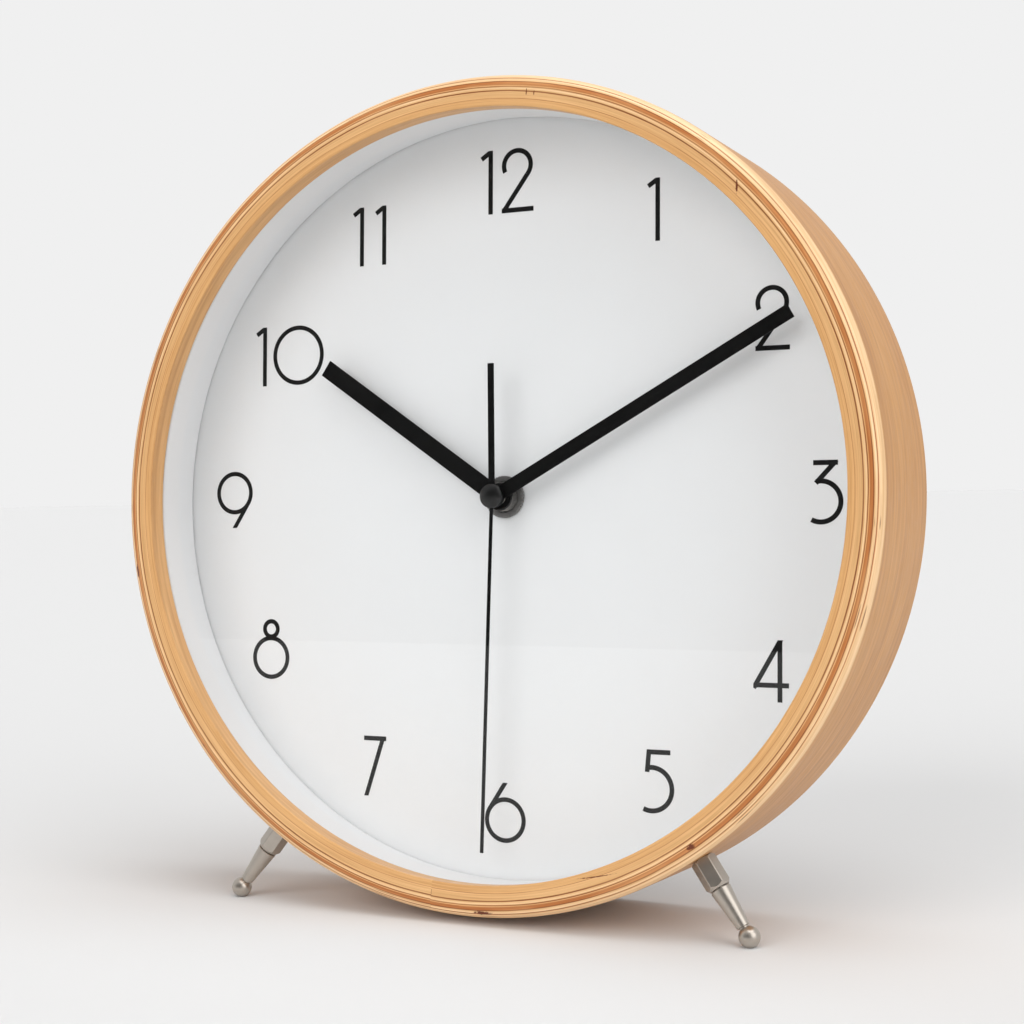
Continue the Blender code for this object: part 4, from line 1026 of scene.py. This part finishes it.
# The second hand's two ends as (reach, width, clock angle), its sheet and the radius of its boss.
NEEDLE = (0.0972, 0.00095, 181.6)
TAIL = (0.0364, 0.0018, 359.3)
SHEET = 0.0004
SWEEP_BOSS = 0.0032


def clockwise(degrees):
    """Turn that lays the Y axis on a clock angle."""
    return Matrix.Rotation(-math.radians(degrees), 4, "Z")


def blade(reach, width, degrees, low, high):
    """Flat square-ended bar from the axis out."""
    return moved(block((-width / 2, 0, low), (width / 2, reach, high)), clockwise(degrees))


class CLOCKLOOKS_OT_hands(bpy.types.Operator):
    """Make the hour, minute and second hands and the dome over them"""

    bl_idname = "clock_looks.hands"
    bl_label = "Hands"

    def execute(self, context):
        sizes = context.scene.clock_hands
        finish = moulded("hand_paint", sizes.paint, 0.55, 1800.0, 0.000014, 0.18, Specular_IOR_Level=0.15)
        for name, node, body, reach, width, degrees, boss in HANDS:
            low, high = extent(node)
            bore = BORE_SHARE * boss
            shape = combined([blade(reach, width, degrees, low.z, high.z), disc(boss, low.z, high.z, 64)])
            shape = combined([shape, disc(bore, low.z - boss, high.z + boss, 48)], "DIFFERENCE")
            round_sharp(shape, sizes.edge)
            piece(name, shape, finish, body, [node])
        low, high = extent("second_hand")
        ends = [blade(*end, high.z - SHEET, high.z) for end in (NEEDLE, TAIL)]
        shape = combined([*ends, disc(SWEEP_BOSS, low.z, high.z, 64)])
        round_sharp(shape, sizes.edge / 2)
        piece("sweep_blade", shape, finish, "seconds", ["second_hand"])
        self.cap(sizes)
        return {"FINISHED"}

    @staticmethod
    def cap(sizes):
        """Low dome with a short straight rim and a fine lip at its foot."""
        low, high = extent("second_hand_cap")
        radius = radii("second_hand_cap")[1]
        rim, lip = 0.0003, 0.00008
        rise = high.z - low.z - rim
        sphere = (radius * radius + rise * rise) / (2 * rise)
        half = math.degrees(math.asin(radius / sphere))
        points = [(0, low.z), (radius, low.z), (radius, low.z + rim)]
        points += bowed((0, high.z - sphere), sphere, 90 - half, 90, 14)[1:]
        points[-1] = (0, high.z)
        shape = turned(points, 72, closed=False)
        round_rings(shape, [(radius, low.z), (radius, low.z + rim)], lip, 2)
        finish = moulded("cap_black", sizes.cap, 0.36, 1500.0, 0.00001, 0.1)
        piece("cap", shape, finish, "seconds", ["second_hand_cap"])


class CLOCKLOOKS_OT_dial_stack(bpy.types.Operator):
    """Make the threaded bush and the knurled nut that hold the movement to the dial"""

    bl_idname = "clock_looks.dial_stack"
    bl_label = "Bush and nut"

    def execute(self, context):
        sizes = context.scene.clock_hands
        self.nut(sizes)
        self.bush(sizes)
        return {"FINISHED"}

    @staticmethod
    def nut(sizes):
        low, high = extent("dial_nut")
        inner, outer = radii("dial_nut")
        section = ring_section(low, high, inner, outer)
        steps, corner = 160, 0.00012
        shape = turned(section, steps)
        round_rings(shape, section, corner, 2)
        share = (outer - sizes.serration) / outer
        flute(shape, (inner + outer) / 2, steps, 4, (0,), share)
        finish = machined("nut_grey", sizes.nut, 0.42, (900.0, 900.0, 900.0), metal=0.3)
        piece("nut", shape, finish, "case", ["dial_nut"])

    @staticmethod
    def bush(sizes):
        """Bush with its flange behind the dial and a helical thread in front."""
        low, high = extent("threaded_bush")
        inner, flange = radii("threaded_bush")
        crest, flange_depth, bite = 0.004, 0.0006, 0.00005
        root = crest - sizes.thread_height
        step_back = low.z + flange_depth
        section = [
            (flange, low.z), (flange, step_back), (root, step_back),
            (root, high.z), (inner, high.z), (inner, low.z),
        ]
        shape = turned(section, 72)
        pitch = sizes.thread_pitch
        ridge = bmesh.new()
        turns = int((high.z - step_back) / pitch) - 1
        steps_per_turn = 36
        steps = steps_per_turn * turns
        corners = [(root - bite, 0.0), (root - bite, pitch * 0.8), (crest, pitch * 0.4)]
        geometry = trace(ridge, [(r, step_back + z + pitch * 0.1) for r, z in corners], True)
        face = ridge.faces.new([part for part in geometry if isinstance(part, bmesh.types.BMVert)])
        bmesh.ops.spin(
            ridge,
            geom=geometry + [face],
            cent=(0, 0, 0),
            axis=(0, 0, 1),
            dvec=(0, 0, pitch * turns / steps),
            angle=math.tau * turns,
            steps=steps,
        )
        clean(ridge)
        joined = bpy.data.meshes.new("ridge")
        ridge.to_mesh(joined)
        ridge.free()
        shape.from_mesh(joined)
        bpy.data.meshes.remove(joined)
        finish = threaded("bush_thread", sizes, crest)
        piece("bush", shape, finish, "case", ["threaded_bush"], crease=20)


# --- legs -------------------------------------------------------------------------------------------
def leg_frame(sizes, side):
    """Frame of a leg, with its origin on the hoop and Z down the leg, and the length to the ball."""
    outer = radii("case_ring")[1]
    root = Vector((side * outer * math.sin(sizes.angle), -outer * math.cos(sizes.angle), -sizes.root_depth))
    direction = Vector((
        side * math.cos(sizes.tilt) * math.sin(sizes.splay),
        -math.cos(sizes.tilt) * math.cos(sizes.splay),
        math.sin(sizes.tilt),
    ))
    over = Matrix.Diagonal((1, -1, -1, 1))
    turn = (over.to_3x3() @ direction).to_track_quat("Z", "Y").to_matrix().to_4x4()
    lay = Matrix.Translation(root) @ over @ turn
    height = math.sqrt(sizes.ball_radius**2 - sizes.flat_radius**2)
    start = (CLOCK @ root).z
    drop = (CLOCK.to_3x3() @ direction).z
    return lay, (height - start) / drop


def ferrule_shape(sizes):
    """Hexagonal sleeve with turned chamfers at both ends."""
    corner = sizes.across_flats / math.sqrt(3)
    start, end = 0.0003, sizes.ferrule
    edge, foot_share = 0.00022, 0.90
    hexagon = disc(corner, start, end, 6)
    hexagon = moved(hexagon, Matrix.Rotation(sizes.ferrule_turn, 4, "Z"))
    round_edges(hexagon, upright_edges(hexagon), edge, 3)
    flat = sizes.across_flats / 2
    long_slope, short_slope = 0.0011, 0.0005
    barrel = [
        (0, start), (flat * 0.99, start), (corner, start + short_slope),
        (corner, end - long_slope), (flat * foot_share, end), (0, end),
    ]
    return combined([hexagon, turned(barrel, 96, closed=False)], "INTERSECT")


def foot_shape(sizes, length):
    """Turned taper with a groove over the ball."""
    top = sizes.ferrule + 0.0003
    spigot_radius, spigot, shoulder = 0.0015, 0.0024, 0.00015
    ball = sizes.ball_radius
    neck_edge = math.degrees(math.asin(sizes.groove_radius * 1.08 / ball))
    throat = length - ball * math.cos(math.radians(neck_edge))
    groove = 0.00045
    points = [
        (0, top - spigot),
        (spigot_radius, top - spigot),
        (spigot_radius, top),
        (sizes.top_radius - shoulder, top),
        (sizes.top_radius, top + shoulder),
        (sizes.neck_radius, throat - groove),
        (sizes.groove_radius, throat - groove * 0.7),
        (sizes.groove_radius, throat),
    ]
    points += bowed((0, length), ball, -90 + neck_edge, 90, 28)
    points[-1] = (0, length + ball)
    return turned(points, 64, closed=False)


class CLOCKLOOKS_OT_legs(bpy.types.Operator):
    """Make the hexagonal ferrules and the turned ball feet"""

    bl_idname = "clock_looks.legs"
    bl_label = "Legs"

    def execute(self, context):
        sizes = context.scene.clock_legs
        for side, word in ((-1, "left"), (1, "right")):
            lay, length = leg_frame(sizes, side)
            satin = {"lay": lay, "depth": 6e-7, "uneven": 0.12, "metal": 0.84}
            down, across = (2600.0, 2600.0, 90.0), (120.0, 120.0, 5200.0)
            brushed = machined(f"nickel_flats_{word}", sizes.nickel, 0.34, down, **satin)
            lathed = machined(f"nickel_turned_{word}", sizes.nickel, 0.32, across, **satin)
            ferrule = ferrule_shape(sizes)
            piece(f"ferrule_{word}", ferrule, brushed, "case", [f"leg_ferrule_{word}"], 18, lay)
            foot = moved(foot_shape(sizes, length), CLOCK @ lay)
            trim(foot, (0, 0, 0), (0, 0, -1))
            moved(foot, INTO_CLOCK)
            piece(f"ball_foot_{word}", foot, lathed, "case", [f"foot_{word}"], 25)
        return {"FINISHED"}


# --- back -------------------------------------------------------------------------------------------
def rounded_block(low, high, corner, segments=6):
    """Box with its upright corners rounded."""
    shape = block(low, high)
    round_edges(shape, upright_edges(shape), corner, segments)
    return shape


def rim_edges(shape, height):
    """Edges of a shape that lie at a height."""
    return [edge for edge in shape.edges if all(abs(vert.co.z - height) < WELD for vert in edge.verts)]


class CLOCKLOOKS_OT_back(bpy.types.Operator):
    """Make the back panel and its cross-recessed screws"""

    bl_idname = "clock_looks.back"
    bl_label = "Back panel"

    def execute(self, context):
        sizes = context.scene.clock_back
        low, high = extent("back_panel")
        case_low, case_high = extent("movement_front_case")
        gap = Vector((sizes.opening_gap, sizes.opening_gap, 0))
        past = Vector((0, 0, sizes.corner))
        hole_low, hole_high = case_low - gap, case_high + gap
        hole_low.z, hole_high.z = (low - past).z, (high + past).z
        panel = disc(radii("back_panel")[1], low.z, high.z, 240)
        opening = rounded_block(hole_low, hole_high, sizes.corner + sizes.opening_gap)
        shape = combined([panel, opening], "DIFFERENCE")
        round_sharp(shape, sizes.panel_edge, 2, 60)
        finish = pressed_board("pressed_board", sizes.board)
        piece("panel", shape, finish, "case", ["back_panel"])
        steel = moulded("screw_steel", sizes.steel, 0.3, 1600.0, 0.00001, 0.08, metallic=1.0)
        for number in range(1, 5):
            self.screw(f"back_panel_screw_{number}", f"panel_screw_{number}", steel)
        return {"FINISHED"}

    @staticmethod
    def screw(node, name, finish):
        """Pan head with a cross recess over a pointed shank."""
        low, high = extent(node)
        centre = (low + high) / 2
        head = (high.x - low.x) / 2
        shank, tip = head / 2, 0.0002
        seat = low.z + 0.0009
        rim, crown, crown_edge = 0.00025, 0.00004, 0.00018
        points = [(0, high.z), (shank * 0.15, high.z - tip), (shank, high.z - shank * 2), (shank, seat)]
        points += [(head, seat), (head, seat - rim)]
        points += [(head * 0.86, low.z + crown_edge), (head * 0.6, low.z + crown), (0, low.z)]
        shape = turned(points, 40, closed=False)
        arm, half, over, floor = head * 0.52, 0.00032, low.z - 0.001, low.z + 0.0007
        arms = [block((-x, -y, over), (x, y, floor)) for x, y in ((arm, half), (half, arm))]
        shape = combined([shape, *arms], "DIFFERENCE")
        round_sharp(shape, 0.00004, 1, 50)
        turned_by = centre.x * 90       # each screw stops at a turn of its own
        lay = Matrix.Translation((centre.x, centre.y, 0)) @ Matrix.Rotation(turned_by, 4, "Z")
        piece(name, shape, finish, "case", [node], lay=lay)


class CLOCKLOOKS_OT_movement(bpy.types.Operator):
    """Make the outside of the movement: its case, lid, setting knob and cell"""

    bl_idname = "clock_looks.movement"
    bl_label = "Movement outside"

    def execute(self, context):
        sizes = context.scene.clock_back
        black = moulded("movement_black", sizes.plastic, 0.5, 1100.0, 0.00004, 0.1)
        self.case(sizes, black)
        self.lid(sizes, black)
        self.knob(sizes)
        self.cell(sizes)
        return {"FINISHED"}

    @staticmethod
    def case(sizes, finish):
        """Tray with a gear room above and a cell bay below, and a finger notch under the cell."""
        low, high = extent("movement_front_case")
        lid_low, lid_high = extent("movement_back_case")
        wall = sizes.wall
        floor, past = high.z - wall, low.z - wall
        outside = rounded_block(low, high, sizes.corner)
        round_edges(outside, rim_edges(outside, low.z), 0.00035, 3)
        play = Vector((0.0003, 0.0003, 0))
        room_low, room_high = lid_low - play, lid_high + play
        room_low.z, room_high.z = past, floor
        bay_low = Vector((low.x + wall, low.y + wall, past))
        bay_high = Vector((high.x - wall, room_low.y - wall, floor))
        notch_radius, notch_sink, bore_radius = 0.0075, 0.0022, 0.0043
        notch = disc(notch_radius, low.y - wall, low.y + 2 * wall, 48)
        notch = moved(notch, Matrix.Rotation(math.radians(90), 4, "X"))
        middle = (low.x + high.x) / 2
        notch = moved(notch, Matrix.Translation((middle, 2 * low.y + wall, low.z - notch_sink)))
        bore = disc(bore_radius, floor - wall, high.z + wall, 40)
        cutters = [block(room_low, room_high), block(bay_low, bay_high), notch, bore]
        shape = combined([outside, *cutters], "DIFFERENCE")
        piece("movement_tray", shape, finish, "case", ["movement_front_case"], crease=24)

    @staticmethod
    def lid(sizes, finish):
        """Lid with a sunk round the knob and a shallow sunk field beside it."""
        low, high = extent("movement_back_case")
        knob_low, knob_high = extent("setting_knob")
        knob = (knob_low + knob_high) / 2
        centre = (knob.x, knob.y)
        outside = rounded_block(low, high, 0.001, 4)
        round_edges(outside, rim_edges(outside, low.z), 0.0003, 2)
        past, sunk, shaft_bore, play, margin = 0.001, 0.00025, 0.00125, 0.0007, 0.0035
        hole = disc(shaft_bore, low.z - past, high.z + past, 32, centre)
        well_radius = (knob_high.x - knob_low.x) / 2 + play
        well = disc(well_radius, low.z - past, low.z + sunk, 64, centre)
        inset = Vector((margin, margin, 0))
        field_low, field_high = low + inset, high - inset
        field_low.z, field_high.z = low.z - past, low.z + sunk
        field_high.x = knob_low.x - margin
        field = rounded_block(field_low, field_high, 0.002, 5)
        shape = combined([outside, hole, well, field], "DIFFERENCE")
        piece("movement_lid", shape, finish, "case", ["movement_back_case"], crease=24)

    @staticmethod
    def knob(sizes):
        """Fluted setting knob with a dished face, on its shaft."""
        low, high = extent("setting_knob")
        finish = moulded("knob_grey", shade(sizes.plastic, 2.2), 0.45, 1200.0, 0.00003, 0.1)
        centre = (low + high) / 2
        head = (high.x - low.x) / 2
        top, foot = low.z, high.z
        under, dish, shaft, chamfer, steps = top + 0.0016, 0.0003, 0.001, 0.0002, 144
        points = [(0, top + dish), (head * 0.62, top + dish), (head * 0.74, top), (head, top)]
        points += [(head, under), (shaft, under), (shaft, foot - chamfer), (shaft * 0.8, foot), (0, foot)]
        shape = turned(points, steps, closed=False)
        round_rings(shape, [(head, top), (head, under)], 0.00025, 2)
        flute(shape, head * 0.9, steps, 6, (2, 3, 4), 0.94)
        lay = Matrix.Translation((centre.x, centre.y, 0))
        piece("knob", shape, finish, "setting", ["setting_knob"], lay=lay)

    @staticmethod
    def cell(sizes):
        """Dry cell with a crimped shoulder, its plus nub to the right and a dished minus end."""
        low, high = extent("battery")
        radius, length = (high.y - low.y) / 2, high.x - low.x
        nub, nub_rise, shoulder, dish, rim = 0.0027, 0.0012, 0.0008, 0.0002, 0.0006
        body = length - nub_rise
        groove, groove_depth, corner = 0.0009, 0.0003, 0.0002
        points = [(0, dish), (radius * 0.55, dish), (radius * 0.62, 0), (radius - rim, 0), (radius, rim)]
        points += [(radius, body - shoulder), (radius - shoulder, body), (nub + groove, body)]
        points += [(nub + groove - groove_depth, body - groove_depth), (nub, body - groove_depth)]
        points += [(nub, length - corner), (nub - corner, length), (0, length)]
        shape = turned(points, 72, closed=False)
        round_rings(shape, [(radius, body - shoulder), (radius, rim)], 0.0004, 3)
        centre = (low + high) / 2
        lay = Matrix.Translation((low.x, centre.y, centre.z)) @ Matrix.Rotation(math.radians(90), 4, "Y")
        finish = wrapped_cell("cell_wrap", sizes, low, high)
        piece("cell", shape, finish, "battery_body", ["battery"], crease=25, lay=lay)


def node_slots():
    """Material slot of each packed solid, from the record."""
    slots = {}
    for part in frame["record"]["subparts"]:
        slots[part["node"]] = part["material_slot"]
    return slots


class CLOCKLOOKS_OT_inside(bpy.types.Operator):
    """Give the packed solids that stay on show their finishes"""

    bl_idname = "clock_looks.inside"
    bl_label = "Movement inside"

    def execute(self, context):
        hands, back = context.scene.clock_hands, context.scene.clock_back
        even, deep = (300.0, 300.0, 300.0), (300.0, 300.0, 3000.0)
        finishes = {
            "rubber": moulded("rubber_black", (0.03, 0.03, 0.03), 0.85, 1500.0, 0.00004, 0.2),
            "pine": wood("pine_block", back.pine),
            "steel": machined("arbor_steel", back.steel, 0.3, even),
            "nickel": machined("contact_nickel", (0.62, 0.60, 0.56), 0.28, even),
            "brass": machined("gear_brass", (0.72, 0.50, 0.20), 0.3, (260.0, 260.0, 2600.0)),
            "white_gear": moulded("gear_white", (0.74, 0.72, 0.66), 0.42, 1500.0, 0.00001, 0.05),
            "white_plastic": moulded("plate_white", (0.74, 0.74, 0.72), 0.45, 1500.0, 0.00002, 0.05),
            "black_plastic": moulded("chip_black", hands.plastic, 0.55, 2400.0, 0.00002, 0.2),
            "grey_metal": machined("core_grey", (0.36, 0.36, 0.35), 0.4, deep),
            "magnet": machined("magnet_dark", (0.12, 0.12, 0.13), 0.4, (500.0, 500.0, 500.0)),
            "copper": wound_wire("copper_winding", (0.72, 0.32, 0.14)),
            "board": moulded("board_green", (0.03, 0.17, 0.08), 0.38, 700.0, 0.00003, 0.25),
        }
        slots = node_slots()
        for name, node in frame["nodes"].items():
            if node.hide_render:
                continue
            finish = finishes[slots.get(name, "steel")]
            if not node.data.materials:
                node.data.materials.append(None)
            for index in range(len(node.material_slots)):
                node.material_slots[index].link = "OBJECT"
                node.material_slots[index].material = finish
        return {"FINISHED"}


# --- studio -----------------------------------------------------------------------------------------
# (name, direction that it stands in, strength, how many degrees wide, whether gloss shows it)
LIGHTS = (
    ("front_light", (-0.45, -1.6, 0.75), 1.14, 46, False),
    ("top_light", (0.30, -0.10, 1.5), 1.15, 50, True),
    ("right_light", (1.4, -0.6, 0.8), 0.85, 50, True),
)


# Strength of the room that glossy surfaces mirror, from the viewer's side (-Y) round to the back.
ROOM = {"From Min": -0.85, "From Max": -0.45, "To Min": 0.02, "To Max": 0.7}


def aim(place, target):
    """Matrix of something at a place that looks at a target."""
    turn = (Vector(target) - Vector(place)).to_track_quat("-Z", "Y").to_matrix().to_4x4()
    return Matrix.Translation(place) @ turn


class CLOCKLOOKS_OT_studio(bpy.types.Operator):
    """Make the pale floor, the soft light and the camera"""

    bl_idname = "clock_looks.studio"
    bl_label = "Studio"

    def execute(self, context):
        sizes = context.scene.clock_studio
        self.floor(sizes)
        self.surroundings(sizes)
        self.lights(sizes)
        self.camera(sizes)
        context.scene.view_settings.view_transform = "Standard"
        return {"FINISHED"}

    @staticmethod
    def floor(sizes):
        shape = bmesh.new()
        bmesh.ops.create_circle(shape, cap_ends=True, segments=96, radius=14.0)
        mesh = bpy.data.meshes.new("floor")
        shape.to_mesh(mesh)
        shape.free()
        wiring = Wiring("floor_white", Roughness=1.0, Specular_IOR_Level=0.0)
        wiring.colour(solid(sizes.floor))
        mesh.materials.append(wiring.material)
        floor = bpy.data.objects.new("floor", mesh)
        bpy.context.scene.collection.objects.link(floor)

    @staticmethod
    def surroundings(sizes):
        """Pale backdrop; mirror-like surfaces see a dimmer room, so that they keep their contrast."""
        world = bpy.data.worlds.new("studio")
        bpy.context.scene.world = world
        world.use_nodes = True
        nodes, links = world.node_tree.nodes, world.node_tree.links
        nodes.clear()
        path = nodes.new("ShaderNodeLightPath")
        white = (1, 1, 1)
        grounds = {}
        for name, colour, strength in (
            ("seen", sizes.backdrop, 1.0),
            ("fill", white, sizes.fill),
            ("mirrored", white, 1.0),
        ):
            grounds[name] = nodes.new("ShaderNodeBackground")
            grounds[name].inputs["Color"].default_value = solid(colour)
            grounds[name].inputs["Strength"].default_value = strength
        toward = nodes.new("ShaderNodeTexCoord")
        split = nodes.new("ShaderNodeSeparateXYZ")
        room = nodes.new("ShaderNodeMapRange")
        for key, value in ROOM.items():
            room.inputs[key].default_value = value
        links.new(toward.outputs["Generated"], split.inputs[0])
        links.new(split.outputs["Y"], room.inputs["Value"])
        links.new(room.outputs[0], grounds["mirrored"].inputs["Strength"])
        gloss = nodes.new("ShaderNodeMixShader")
        seen = nodes.new("ShaderNodeMixShader")
        output = nodes.new("ShaderNodeOutputWorld")
        for source, target in (
            (path.outputs["Is Glossy Ray"], gloss.inputs[0]),
            (grounds["fill"].outputs[0], gloss.inputs[1]),
            (grounds["mirrored"].outputs[0], gloss.inputs[2]),
            (path.outputs["Is Camera Ray"], seen.inputs[0]),
            (gloss.outputs[0], seen.inputs[1]),
            (grounds["seen"].outputs[0], seen.inputs[2]),
            (seen.outputs[0], output.inputs["Surface"]),
        ):
            links.new(source, target)

    @staticmethod
    def lights(sizes):
        middle = Vector((0, 0, 0.11))
        for name, direction, strength, softness, mirrored in LIGHTS:
            light = bpy.data.lights.new(name, "SUN")
            light.energy = strength * sizes.sun
            light.angle = math.radians(softness)
            lamp = bpy.data.objects.new(name, light)
            lamp.matrix_world = aim(middle + Vector(direction), middle)
            lamp.visible_glossy = mirrored
            bpy.context.scene.collection.objects.link(lamp)

    @staticmethod
    def camera(sizes):
        """Camera given in the clock's own frame, so that it keeps its place if the lean changes."""
        azimuth, elevation, roll = sizes.azimuth, sizes.elevation, sizes.roll
        away = Vector((
            math.sin(azimuth) * math.cos(elevation),
            math.sin(elevation),
            math.cos(azimuth) * math.cos(elevation),
        ))
        forward = -away
        right = forward.cross(Vector((0, 1, 0))).normalized()
        up = right.cross(forward)
        right, up = (
            right * math.cos(roll) + up * math.sin(roll),
            -right * math.sin(roll) + up * math.cos(roll),
        )
        forward = (forward + right * sizes.aim_right + up * sizes.aim_up).normalized()
        right = (right - forward * right.dot(forward)).normalized()
        up = right.cross(forward)
        turn = Matrix((right, up, -forward)).transposed().to_4x4()
        camera = bpy.data.cameras.new("camera")
        camera.lens = sizes.lens
        camera.sensor_width = 36
        camera.clip_start = 0.01
        camera.clip_end = 100
        viewer = bpy.data.objects.new("camera", camera)
        viewer.matrix_world = CLOCK @ Matrix.Translation(away * sizes.distance) @ turn
        bpy.context.scene.collection.objects.link(viewer)
        bpy.context.scene.camera = viewer


# --- add-on -----------------------------------------------------------------------------------------
OPERATORS = (
    CLOCKLOOKS_OT_hoop,
    CLOCKLOOKS_OT_glass,
    CLOCKLOOKS_OT_dial,
    CLOCKLOOKS_OT_numerals,
    CLOCKLOOKS_OT_hands,
    CLOCKLOOKS_OT_dial_stack,
    CLOCKLOOKS_OT_legs,
    CLOCKLOOKS_OT_back,
    CLOCKLOOKS_OT_movement,
    CLOCKLOOKS_OT_inside,
    CLOCKLOOKS_OT_studio,
)


class CLOCKLOOKS_PT_panel(bpy.types.Panel):
    """Buttons that make the clock's pieces"""

    bl_idname = "CLOCKLOOKS_PT_panel"
    bl_label = "Mantel clock"
    bl_space_type = "VIEW_3D"
    bl_region_type = "UI"
    bl_category = "Mantel clock"

    def draw(self, context):
        for operator in OPERATORS:
            self.layout.operator(operator.bl_idname)
        for key, group in SETTINGS.items():
            box = self.layout.box()
            box.label(text=group.__doc__)
            for field in group.__annotations__:
                box.prop(getattr(context.scene, key), field)


def register():
    for each in (*SETTINGS.values(), *OPERATORS, CLOCKLOOKS_PT_panel):
        bpy.utils.register_class(each)
    for key, group in SETTINGS.items():
        setattr(bpy.types.Scene, key, bpy.props.PointerProperty(type=group))


def unregister():
    for key in SETTINGS:
        delattr(bpy.types.Scene, key)
    for each in (CLOCKLOOKS_PT_panel, *OPERATORS, *SETTINGS.values()):
        bpy.utils.unregister_class(each)


def main():
    register()
    for operator in OPERATORS:
        getattr(bpy.ops.clock_looks, operator.bl_idname.split(".")[1])()


if __name__ == "__main__":
    main()
